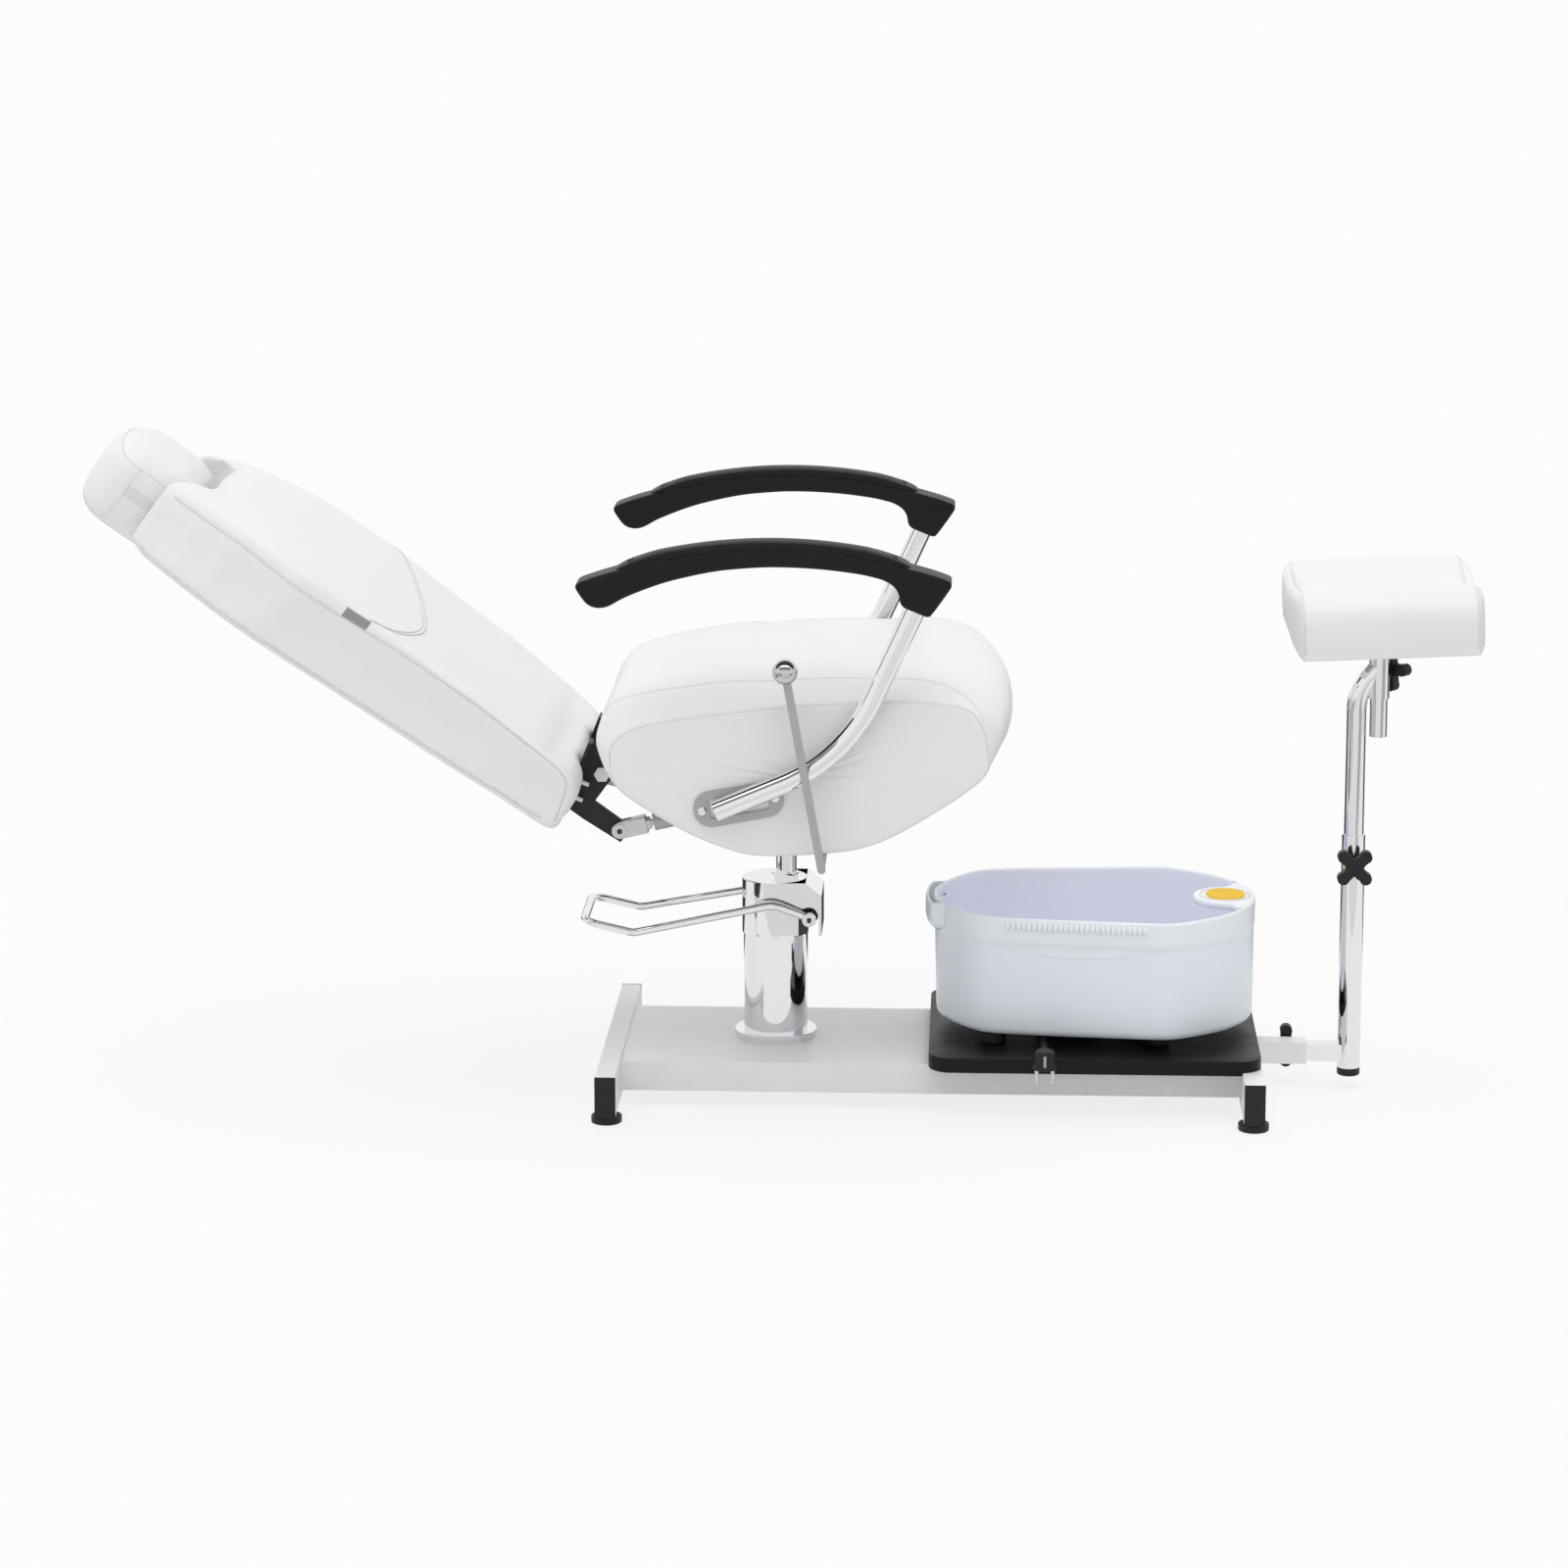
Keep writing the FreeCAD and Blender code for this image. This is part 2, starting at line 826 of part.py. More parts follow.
def rod_wiper():
    ring = upright(piston_offset, 0, pump_head_top, pump_head_top + wiper_height, wiper_radius)
    return ring.cut(
        upright(
            piston_offset, 0, pump_head_top - 1, pump_head_top + wiper_height + 1, piston_radius + running_gap
        )
    )


# Pedal


def pedal_loop():
    """The bent rod loop that the foot pumps."""
    pivot_z = pedal_pivot_height
    near = [
        V(pedal_pivot_x, -pedal_eye_half_width, pivot_z),
        V(pedal_crest_x, -pedal_waist_half_width, pivot_z + pedal_crest_rise),
        V(pedal_dip_x, -pedal_half_width, pivot_z - pedal_dip_fall),
        V(pedal_end_x, -pedal_half_width, pivot_z - pedal_end_fall),
    ]
    far = [V(p.x, -p.y, p.z) for p in reversed(near)]
    radii = [0, pedal_bend_radius, pedal_bend_radius, pedal_corner_radius]
    radii = radii + radii[::-1]
    loop = bent_bar(near + far, radii, pedal_rod_radius)
    half = pedal_eye_thickness / 2
    for side in (-1, 1):
        y = side * pedal_eye_half_width
        eye = crosswise(pedal_pivot_x, pivot_z, y - half, y + half, pedal_eye_radius)
        loop = loop.fuse(eye)
    for side in (-1, 1):
        y = side * pedal_eye_half_width
        loop = loop.cut(
            crosswise(
                pedal_pivot_x, pivot_z, y - pedal_eye_radius, y + pedal_eye_radius, pedal_shaft_tip_radius
            )
        )
    return loop


def pedal_shaft():
    shoulder = pedal_eye_half_width - pedal_eye_thickness / 2
    tip = pedal_eye_half_width + pedal_eye_thickness / 2
    x = pedal_pivot_x
    z = pedal_pivot_height
    shaft = crosswise(x, z, -shoulder, shoulder, pedal_shaft_radius)
    shaft = shaft.fuse(crosswise(x, z, -tip, tip, pedal_shaft_tip_radius))
    for side in (-1, 1):
        a = side * tip
        b = side * (tip - pedal_bolt_shank_length)
        shaft = shaft.cut(crosswise(x, z, a, b, pedal_bolt_shank_radius))
    return shaft


def pedal_bolt(side):
    """A socket-head bolt at one end of the pedal's shaft."""
    face = side * (pedal_eye_half_width + pedal_eye_thickness / 2)
    x = pedal_pivot_x
    z = pedal_pivot_height
    outer = face + side * pedal_bolt_head_height
    head = crosswise(x, z, face, outer, pedal_bolt_head_radius)
    head = filleted(head, 1.2, lambda e: abs(e.CenterOfMass.y) > abs(outer) - 0.5)
    head = head.fuse(crosswise(x, z, face, face - side * pedal_bolt_shank_length, pedal_bolt_shank_radius))
    socket = crosswise(x, z, outer, outer - side * pedal_bolt_socket_depth, pedal_bolt_socket_radius)
    return head.cut(socket)


# Seat


def seat_outline():
    """The seat cushion's side outline as (x, z) points, clockwise from the rear, from shares of its size."""
    shares = [
        (0.000, 0.595),
        (0.023, 0.771),
        (0.121, 0.898),
        (0.429, 0.976),
        (0.665, 1.000),
        (0.844, 0.985),
        (0.959, 0.859),
        (1.000, 0.663),
        (0.947, 0.468),
        (0.774, 0.200),
        (0.659, 0.063),
        (0.544, 0.015),
        (0.392, 0.000),
        (0.302, 0.049),
        (0.195, 0.161),
        (0.055, 0.371),
    ]
    return [(seat_rear_x + along * seat_length, seat_bottom + up * seat_depth) for along, up in shares]


def soft_inset(share, depth):
    """How far a padded section is drawn in; share is 0 in the middle and 1 at the end."""
    return depth * (1 - (1 - share**soft_power) ** (1 / soft_power))


def soft_sections(make, depth):
    """Sections from one padded end to the other; make(place, inset) draws one, place being -1 to 1."""
    places = [-share for share in reversed(soft_shares)] + [0] + soft_shares
    return [make(place, soft_inset(abs(place), depth)) for place in places]


def seat_section(y, inset):
    """A smooth side outline at y, drawn in from the seat's outline by inset."""
    points = seat_outline()
    middle_x = sum(x for x, z in points) / len(points)
    middle_z = sum(z for x, z in points) / len(points)
    moved = []
    for x, z in points:
        away = V(x - middle_x, 0, z - middle_z)
        away = away * (1 - inset / away.Length)
        moved.append(V(middle_x + away.x, y, middle_z + away.z))
    return smooth_wire(moved)


def seat_cushion():
    """The deep upholstered seat, hollow below for the steel frame and its mechanism."""
    sections = soft_sections(
        lambda place, inset: seat_section(place * seat_half_width, inset), seat_edge_inset
    )
    body = Part.makeLoft(sections, True, False)
    bay = box(
        seat_bay_rear_x,
        seat_bay_front_x,
        -seat_bay_half_width,
        seat_bay_half_width,
        seat_bottom - 10,
        seat_board_bottom,
    )
    body = body.cut(bay)
    notch = box(
        seat_bay_rear_x,
        seat_notch_front_x,
        -seat_bay_half_width,
        seat_bay_half_width,
        seat_board_bottom - 1,
        seat_board_bottom + seat_notch_height,
    )
    body = body.cut(notch)
    body = body.cut(seat_board_blank())
    for side in (-1, 1):
        for x, z in arm_screw_places():
            body = body.cut(arm_screw_hole(x, z, side))
    return body


def seat_board_blank():
    return box(
        seat_board_rear_x,
        seat_board_front_x,
        -seat_board_half_width,
        seat_board_half_width,
        seat_board_bottom,
        seat_board_bottom + seat_board_thickness,
    )


def seat_bolt_places():
    middle = (seat_frame_rear_x + seat_frame_front_x) / 2
    return [
        (middle + i * seat_bolt_x_spacing / 2, j * seat_bolt_y_spacing / 2) for i in (-1, 1) for j in (-1, 1)
    ]


def seat_board():
    board = seat_board_blank()
    for x, y in seat_bolt_places():
        board = board.cut(
            upright(
                x,
                y,
                seat_board_bottom - 1,
                seat_board_bottom + seat_bolt_length - seat_frame_sheet,
                seat_bolt_radius,
            )
        )
    return board


def seat_frame():
    """The welded frame: top plate, two side flanges, hub, hinge ears and the mounts of spring and lever."""
    top = seat_board_bottom
    under = top - seat_frame_sheet
    half = seat_frame_half_width
    frame = box(seat_frame_rear_x, seat_frame_front_x, -half, half, under, top)
    flange = [
        (seat_frame_side_rear_x, under + 0.5),
        (seat_frame_side_rear_x, seat_frame_side_bottom),
        (lever_shaft_x - lever_tab_width / 2, seat_frame_side_bottom),
        (lever_shaft_x - lever_tab_width / 2, lever_shaft_height - lever_tab_width / 2),
        (lever_shaft_x + lever_tab_width / 2, lever_shaft_height - lever_tab_width / 2),
        (lever_shaft_x + lever_tab_width / 2, seat_frame_side_bottom),
        (seat_frame_front_x, seat_frame_side_bottom + 20),
        (seat_frame_front_x, under + 0.5),
    ]
    radii = [0, 3, 3, 8, 8, 3, 3, 0]
    for side in (-1, 1):
        y0, y1 = sorted((side * half, side * (half - seat_frame_sheet)))
        frame = frame.fuse(side_plate(flange, radii, y0, y1))
    for side in (-1, 1):
        inner = side * (bracket_y - bracket_thickness / 2 - clear_gap)
        outer = inner - side * ear_thickness
        frame = frame.fuse(hinge_ear(under, min(inner, outer), max(inner, outer)))
    frame = frame.fuse(upright(piston_offset, 0, seat_hub_bottom, under + 0.5, seat_hub_radius))
    eye = gas_eye_point()
    for side in (-1, 1):
        inner = -bracket_y + side * (gas_eye_width / 2 + clear_gap)
        outer = inner + side * seat_frame_sheet
        lug = side_plate(
            [
                (eye.x - 14, under + 0.5),
                (eye.x - 11, eye.z - 11),
                (eye.x + 11, eye.z - 11),
                (eye.x + 14, under + 0.5),
            ],
            [0, 8, 8, 0],
            min(inner, outer),
            max(inner, outer),
        )
        frame = frame.fuse(lug)
    frame = frame.fuse(crosswise(eye.x, eye.z, -bracket_y - 8, -bracket_y + 8, gas_pin_radius))
    shaft_hole = lever_shaft_radius + running_gap
    frame = frame.cut(crosswise(lever_shaft_x, lever_shaft_height, -half - 1, half + 1, shaft_hole))
    frame = frame.cut(
        upright(piston_offset, 0, seat_hub_bottom - 1, under, piston_radius + running_gap)
    )
    pivot = crosswise(
        back_pivot_x, back_pivot_height, -bracket_y - 20, bracket_y + 20, pivot_bolt_radius
    )
    frame = frame.cut(pivot)
    for x, y in seat_bolt_places():
        frame = frame.cut(upright(x, y, under - 1, top + 1, seat_bolt_radius))
    return frame.removeSplitter()


def hinge_ear(under, y0, y1):
    """A plate from the frame's top plate to the backrest's pivot."""
    root = [
        (seat_frame_rear_x + 3 * ear_radius, under + 0.5),
        (seat_frame_rear_x + 3 * ear_radius, back_pivot_height - 1.4 * ear_radius),
        (seat_frame_rear_x, back_pivot_height - 2 * ear_radius),
        (back_pivot_x + 3, back_pivot_height - ear_radius + 0.6),
        (back_pivot_x - 3, back_pivot_height + ear_radius - 0.6),
        (seat_frame_rear_x, under + 0.5),
    ]
    ear = side_plate(root, [0, 6, 6, 0, 0, 0], y0, y1)
    return ear.fuse(crosswise(back_pivot_x, back_pivot_height, y0, y1, ear_radius))


def pivot_bolt(side):
    """The hinge bolt of one bracket, with a hexagon head outside and a nut inside."""
    face = side * (bracket_y + bracket_thickness / 2 + clear_gap)
    inner = side * (bracket_y - bracket_thickness / 2 - clear_gap - ear_thickness)
    point = V(back_pivot_x, face, back_pivot_height)
    head = hex_bar(point, V(0, side, 0), pivot_bolt_head_flats, pivot_bolt_head_height)
    shank = crosswise(back_pivot_x, back_pivot_height, face, inner, pivot_bolt_radius)
    nut = hex_bar(V(back_pivot_x, inner, back_pivot_height), V(0, -side, 0), pivot_bolt_head_flats, 8)
    return head.fuse([shank, nut])


# Armrests


def arm_path():
    return [
        V(arm_tube_low_x, 0, arm_tube_low_z),
        V(arm_tube_corner_x, 0, arm_tube_corner_z),
        V(arm_tube_top_x, 0, arm_tube_top_z),
    ]


def arm_tube(side):
    """The bent chrome tube that carries one arm pad."""
    points = [V(p.x, side * arm_y, p.z) for p in arm_path()]
    radii = [0, arm_tube_bend_radius, 0]
    return bent_bar(points, radii, arm_tube_radius).cut(
        bent_bar(points, radii, arm_tube_radius - arm_tube_wall)
    )


def arm_plate(side):
    """The slotted side plate that the arm tube is welded into."""
    inner = side * (seat_half_width + clear_gap)
    outer = inner + side * arm_plate_thickness
    y0, y1 = sorted((inner, outer))
    half = arm_plate_length / 2
    high = arm_plate_height / 2
    plate = side_plate(
        [
            (arm_plate_x - half, arm_plate_z - high),
            (arm_plate_x + half, arm_plate_z - high),
            (arm_plate_x + half, arm_plate_z + high),
            (arm_plate_x - half, arm_plate_z + high),
        ],
        high * 0.98,
        y0,
        y1,
    )
    slot_half = arm_slot_length / 2
    slot_high = arm_slot_height / 2
    plate = plate.cut(
        side_plate(
            [
                (arm_plate_x - slot_half, arm_plate_z - slot_high),
                (arm_plate_x + slot_half, arm_plate_z - slot_high),
                (arm_plate_x + slot_half, arm_plate_z + slot_high),
                (arm_plate_x - slot_half, arm_plate_z + slot_high),
            ],
            3,
            y0 - 1,
            y1 + 1,
        )
    )
    plate.rotate(V(arm_plate_x, 0, arm_plate_z), Y_AXIS, -arm_plate_tilt)
    for x, z in arm_screw_places():
        plate = plate.cut(crosswise(x, z, y0 - 1, y1 + 1, arm_screw_radius))
    points = [V(p.x, side * arm_y, p.z) for p in arm_path()]
    return plate.cut(bent_bar(points, [0, arm_tube_bend_radius, 0], arm_tube_radius))


def arm_screw_places():
    """The (x, z) middles of the two screws of an arm plate."""
    turn = math.radians(arm_plate_tilt)
    half = arm_screw_spacing / 2
    return [
        (arm_plate_x + i * half * math.cos(turn), arm_plate_z + i * half * math.sin(turn)) for i in (-1, 1)
    ]


def arm_screw_hole(x, z, side):
    face = side * (seat_half_width + 1)
    return crosswise(x, z, face, face - side * (arm_screw_length + 1), arm_screw_radius)


def arm_screw(x, z, side):
    face = side * (seat_half_width + clear_gap + arm_plate_thickness)
    deep = side * (seat_half_width - arm_screw_length + arm_plate_thickness)
    top = face + side * arm_screw_head_height
    head = crosswise(x, z, face, top, arm_screw_head_radius)
    head = filleted(head, 2.4, lambda e: abs(e.CenterOfMass.y) > abs(top) - 0.1)
    return head.fuse(crosswise(x, z, face, deep, arm_screw_radius))


def arm_pad_top(x):
    """Height of the moulded bar's upper line at x."""
    return arm_pad_crest_z - (x - arm_pad_middle_x) ** 2 / (2 * arm_pad_top_radius)


def arm_pad_under(x):
    """Height of the moulded bar's lower line at x."""
    return arm_pad_crest_z - arm_pad_thickness - (x - arm_pad_middle_x) ** 2 / (2 * arm_pad_under_radius)


def arc_through(line, x0, x1, y):
    """An arc in the plane at y that follows a height function from x0 to x1."""
    xm = (x0 + x1) / 2
    return Part.Arc(V(x0, y, line(x0)), V(xm, y, line(xm)), V(x1, y, line(x1))).toShape()


def arm_pad(side):
    """The moulded arm pad: a curved bar with a raised grip and a socket for the tube."""
    back = arm_pad_back_x
    front = arm_pad_front_x
    y0 = side * arm_y - arm_pad_width / 2
    heel = back + arm_heel_length
    neck = front - arm_neck_length
    corners = [
        V(neck, y0, arm_pad_under(neck)),
        V(heel, y0, arm_pad_under(heel)),
        V(back + arm_heel_lean, y0, arm_pad_under(heel) + arm_heel_rise),
        V(back, y0, arm_pad_top(back)),
        V(front, y0, arm_pad_top(front)),
        V(front - 4, y0, arm_pad_top(front) - 20),
    ]
    low, heel_point, tail_point, back_point, front_point, lip_point = corners
    bar_wire = Part.Wire(
        [
            arc_through(arm_pad_top, back, front, y0),
            Part.LineSegment(front_point, lip_point).toShape(),
            Part.LineSegment(lip_point, low).toShape(),
            arc_through(arm_pad_under, neck, heel, y0),
            Part.LineSegment(heel_point, tail_point).toShape(),
            Part.LineSegment(tail_point, back_point).toShape(),
        ]
    )
    pad = Part.Face(bar_wire).extrude(V(0, arm_pad_width, 0))
    top = arm_path()[2]
    along = (top - arm_path()[1]).normalize()
    across = V(along.z, 0, -along.x)
    mouth = top - along * arm_socket_depth
    half = arm_tube_radius + arm_socket_wall
    rear = mouth - across * half
    fore = mouth + across * half
    outer = y0 + arm_pad_width
    socket = side_plate(
        [
            (rear.x, rear.z),
            (fore.x, fore.z),
            (front - 1, arm_pad_top(front) - arm_lip_drop),
            (front - 8, arm_pad_top(front) - 2),
            (neck, arm_pad_top(neck) - 5),
        ],
        arm_corner_round,
        y0,
        outer,
    )
    socket = filleted(
        socket, arm_pad_round, lambda e: abs(e.CenterOfMass.y - side * arm_y) > arm_pad_width / 2 - 1
    )
    pad = filleted(pad, arm_corner_round, lambda e: abs(e.tangentAt(e.FirstParameter).y) > 0.9)
    pad = filleted(pad, arm_pad_round, lambda e: abs(e.CenterOfMass.y - side * arm_y) > arm_pad_width / 2 - 1)
    pad = pad.fuse(socket)
    g0 = side * arm_y - arm_grip_width / 2
    first = back + arm_grip_inset
    last = front - arm_grip_inset

    def grip_top(x):
        return arm_pad_top(x) + arm_grip_rise

    def grip_low(x):
        return arm_pad_top(x) - 8

    grip_wire = Part.Wire(
        [
            arc_through(grip_top, first, last, g0),
            Part.LineSegment(V(last, g0, grip_top(last)), V(last, g0, grip_low(last))).toShape(),
            arc_through(grip_low, last, first, g0),
            Part.LineSegment(V(first, g0, grip_low(first)), V(first, g0, grip_top(first))).toShape(),
        ]
    )
    grip = Part.Face(grip_wire).extrude(V(0, arm_grip_width, 0))
    grip = filleted(grip, arm_grip_width * 0.35, lambda e: abs(e.tangentAt(e.FirstParameter).z) > 0.99)
    grip = filleted(grip, arm_grip_round, lambda e: e.CenterOfMass.z > arm_pad_top(e.CenterOfMass.x) + 2)
    pad = pad.fuse(grip)
    points = [V(p.x, side * arm_y, p.z) for p in arm_path()]
    tube = bent_bar(points, [0, arm_tube_bend_radius, 0], arm_tube_radius + running_gap)
    return pad.cut(tube)


# Release lever


def release_lever():
    """The flat lever bar with the shaft that it turns."""
    y1 = -lever_y + lever_bar_thickness / 2
    y0 = -lever_y - lever_bar_thickness / 2
    top = V(lever_shaft_x + lever_lean_x, 0, lever_shaft_height + lever_length_z)
    foot = V(lever_shaft_x, 0, lever_shaft_height)
    along = (top - foot).normalize()
    across = V(along.z, 0, -along.x) * (lever_bar_width / 2)
    tail = foot - along * lever_tail
    neck = top - along * (lever_ball_radius - 3)
    corners = [tail - across, tail + across, neck + across, neck - across]
    bar = side_plate([(p.x, p.z) for p in corners], [4.5, 4.5, 1, 1], y0, y1)
    shaft = crosswise(lever_shaft_x, lever_shaft_height, y0 + 1, -lever_shaft_inner_y, lever_shaft_radius)
    finger = box(
        lever_shaft_x - lever_finger_width / 2,
        lever_shaft_x + lever_finger_width / 2,
        -bracket_y - lever_finger_thickness / 2,
        -bracket_y + lever_finger_thickness / 2,
        lever_shaft_height,
        lever_shaft_height + lever_finger_length,
    )
    return bar.fuse([shaft, finger])


def lever_ball():
    top = V(lever_shaft_x + lever_lean_x, -lever_y, lever_shaft_height + lever_length_z)
    foot = V(lever_shaft_x, -lever_y, lever_shaft_height)
    along = (top - foot).normalize()
    ball = Part.makeSphere(lever_ball_radius, top)
    neck = top - along * (lever_ball_radius - 3)
    stop = Part.makeCylinder(lever_bar_width * 0.75, lever_ball_radius, neck, along * -1)
    return ball.cut(stop)


# Backrest, drawn lying flat towards -X from its pivot and then raised to the recline angle


def raised(shape):
    """Moves a piece from the flat drawing position to its place on the chair."""
    shape.translate(PIVOT)
    shape.rotate(PIVOT, Y_AXIS, recline_angle)
    return shape


def back_share(u):
    """How far u lies along the backrest, from 0 at its lower end to 1 at its upper end."""
    return (u - back_bottom) / (back_top - back_bottom)


def back_width_at(u):
    """Half of the backrest's width at the distance u from the pivot."""
    if u > back_shoulder:
        share = (u - back_shoulder) / (back_top - back_shoulder)
        return back_half_width - (back_half_width - back_corner_half_width) * share**1.6
    share = (back_shoulder - u) / (back_shoulder - back_bottom)
    return back_half_width - back_foot_taper * share**3


def back_face_at(u):
    """Height of the backrest's front face."""
    if u > back_crown_place:
        share = (u - back_crown_place) / (back_top - back_crown_place)
        return back_crown - back_crown_fall * share**2.5
    share = (back_crown_place - u) / (back_crown_place - back_bottom)
    return back_crown - back_crown * share**2


def back_rear_at(u):
    """Height of the backrest's rear face, below the front face."""
    return -back_lower_thickness - (back_upper_thickness - back_lower_thickness) * back_share(u) ** 1.5


def back_section(u, inset, lean):
    """A section across the backrest, drawn in by inset and leaning like the lower end."""
    half = back_width_at(u) - inset
    high = back_face_at(u) - inset
    low = back_rear_at(u) + inset
    radius = back_edge_round
    corners = [(-half, low), (half, low), (half, high), (-half, high)]
    points = [V(-u - lean * z, y, z) for y, z in corners]
    return Part.Wire(rounded_edges(points, [radius] * len(points)))


def back_cushion():
    """The upholstered back, with a notch at its upper end for the headrest."""
    soft = back_end_round
    sections = [
        back_section(back_bottom, soft, back_end_slope),
        back_section(back_bottom + soft, 0, back_end_slope),
    ]
    start = back_bottom + 4 * soft
    finish = back_top - 1.5 * soft
    for i in range(back_section_count):
        u = start + (finish - start) * i / (back_section_count - 1)
        sections.append(back_section(u, 0, 0))
    sections.append(back_section(back_top, soft, 0))
    body = Part.makeLoft(sections, True, False)
    notch_x = -back_top + back_notch_depth
    half = back_notch_half_width
    notch = floor_plate(
        [(notch_x, -half), (notch_x, half), (-back_top - 50, half + 6), (-back_top - 50, -half - 6)],
        [back_notch_round, back_notch_round, 0, 0],
        -back_upper_thickness - 50,
        back_crown + 50,
    )
    body = body.cut(notch)
    body = body.cut(back_board_blank())
    for side in (-1, 1):
        for z in bracket_stud_heights():
            start, direction = stud_axis(z, side)
            body = body.cut(rod(start - direction * back_stud_grip, start, stud_radius))
    for side in (-1, 1):
        y = side * head_post_spacing / 2
        start = V(-back_top - 1, y, head_post_z())
        finish = V(head_post_end_x() + head_post_travel, y, head_post_z())
        body = body.cut(rod(start, finish, head_post_radius + clear_gap))
    return body


def head_post_z():
    return head_top - head_thickness / 2


def head_post_end_x():
    """Where a headrest post ends inside the backrest."""
    return -head_inner - head_post_grip + head_post_length


def back_board_blank():
    """The plywood back with its thick lower rail, as one outline lying in the cushion's rear face."""
    near = back_bottom + back_board_inset
    far = back_top - back_notch_depth - back_board_margin
    half = back_width_at(far) - back_board_margin
    z_near = back_rear_at(near) + back_board_cover
    z_far = back_rear_at(far) + back_board_cover
    rise = back_board_thickness
    rail = back_rail_height
    lean = back_end_slope
    outline = [
        (-far, z_far),
        (-near - lean * z_near, z_near),
        (-near - lean * (z_near + rail), z_near + rail),
        (-near - back_rail_width - lean * (z_near + rail), z_near + rail),
        (-near - back_rail_width - lean * (z_near + rise), z_near + rise),
        (-far, z_far + rise),
    ]
    return side_plate(outline, 0, -half, half)


def back_board():
    board = back_board_blank()
    for side in (-1, 1):
        for z in bracket_stud_heights():
            start, direction = stud_axis(z, side)
            board = board.cut(rod(start - direction * back_stud_grip, start, stud_radius))
    return board


def bracket(side):
    """One hinge bracket: an L-shaped cheek with a flange bolted to the end of the backrest."""
    y0 = side * bracket_y - bracket_thickness / 2
    y1 = y0 + bracket_thickness
    flange_x = -back_bottom + clear_gap
    lean = back_end_slope
    points = [
        (flange_x - lean * bracket_flange_top, bracket_flange_top),
        (bracket_right_x, bracket_flange_top - 16),
        (bracket_right_x, -bracket_crank_width - 8),
    ]
    if side < 0:
        points += [
            (bracket_crank_reach - 12, -bracket_crank_width - 8),
            (bracket_crank_reach, -bracket_crank_width - 14),
            (bracket_crank_reach, -2 * bracket_crank_width - 6),
            (bracket_right_x + 1, -2 * bracket_crank_width - 9.5),
        ]
    points.append((flange_x + lean * -bracket_flange_bottom, bracket_flange_bottom))
    cheek = side_plate(points, 0, y0, y1)
    out0, out1 = sorted(
        (side * (bracket_y - bracket_thickness / 2), side * (bracket_y + bracket_flange_width))
    )
    t = bracket_flange_thickness
    flange = side_plate(
        [
            (flange_x - lean * bracket_flange_top, bracket_flange_top),
            (flange_x - lean * bracket_flange_bottom, bracket_flange_bottom),
            (flange_x - lean * bracket_flange_bottom + t, bracket_flange_bottom),
            (flange_x - lean * bracket_flange_top + t, bracket_flange_top),
        ],
        0,
        out0,
        out1,
    )
    shape = cheek.fuse(flange)
    shape = shape.cut(crosswise(0, 0, y0 - 1, y1 + 1, pivot_bolt_radius + running_gap))
    if side < 0:
        shape = shape.cut(crosswise(crank_pin_x, -crank_pin_drop, y0 - 1, y1 + 1, crank_hole_radius))
    for z in bracket_stud_heights():
        start, direction = stud_axis(z, side)
        shape = shape.cut(
            rod(start - direction * 2 * bracket_flange_thickness, start + direction, stud_radius)
        )
    return shape


def bracket_stud_heights():
    return [bracket_flange_bottom + stud_inset_low, bracket_flange_top - stud_inset_high]


def stud_axis(z, side):
    """The start of a stud on the flange's outer face, and the way that it points."""
    lean = back_end_slope
    flange_x = -back_bottom + clear_gap + bracket_flange_thickness
    direction = V(1, 0, lean).normalize()
    y = side * (bracket_y + bracket_flange_width * 0.55)
    return V(flange_x - lean * z, y, z), direction


def bracket_fasteners():
    """The studs and nuts that hold both brackets to the backrest's lower rail."""
    solids = []
    for side in (-1, 1):
        for z in bracket_stud_heights():
            start, direction = stud_axis(z, side)
            stud = rod(start - direction * back_stud_grip, start + direction * stud_length, stud_radius)
            nut = hex_bar(start, direction, stud_nut_flats, stud_nut_height)
            solids.append(stud.fuse(nut))
    return Part.makeCompound(solids)


def clevis_pin():
    """The pin through the fork, with a washer head at each end; the crank turns on it with play."""
    half = fork_width / 2
    pin = crosswise(0, 0, -half, half, crank_pin_radius)
    for side in (-1, 1):
        face = side * half
        pin = pin.fuse(crosswise(0, 0, face, face + side * crank_pin_head_height, crank_pin_head_radius))
    return sloped(pin)


def back_tag():
    """A blank tab sewn onto the rounded edge between the near side and the front face."""
    x0 = -back_tag_place - back_tag_width / 2
    x1 = -back_tag_place + back_tag_width / 2
    y = -back_half_width + back_edge_round
    z = back_face_at(back_tag_place) - back_edge_round
    inner = back_edge_round + 2 * clear_gap
    outer = inner + back_tag_thickness
    sheet = rod(V(x0, y, z), V(x1, y, z), outer).cut(rod(V(x0 - 1, y, z), V(x1 + 1, y, z), inner))
    reach = 2 * outer
    corners = [V(x0, y, z)]
    for share in (0, 0.5, 1):
        angle = math.radians(back_tag_start + share * back_tag_sweep)
        corners.append(V(x0, y - reach * math.cos(angle), z + reach * math.sin(angle)))
    wedge = Part.Face(Part.makePolygon(corners + corners[:1])).extrude(V(back_tag_width, 0, 0))
    return sheet.common(wedge)


# Gas spring, drawn along +X from the crank pin


def gas_direction():
    slope = math.radians(gas_slope)
    return V(math.cos(slope), 0, math.sin(slope))


def crank_pin_point():
    """The crank pin's place on the chair."""
    turn = math.radians(recline_angle)
    x = crank_pin_x
    z = -crank_pin_drop
    return V(
        back_pivot_x + x * math.cos(turn) + z * math.sin(turn),
        0,
        back_pivot_height - x * math.sin(turn) + z * math.cos(turn),
    )


def gas_eye_point():
    return crank_pin_point() + gas_direction() * gas_length


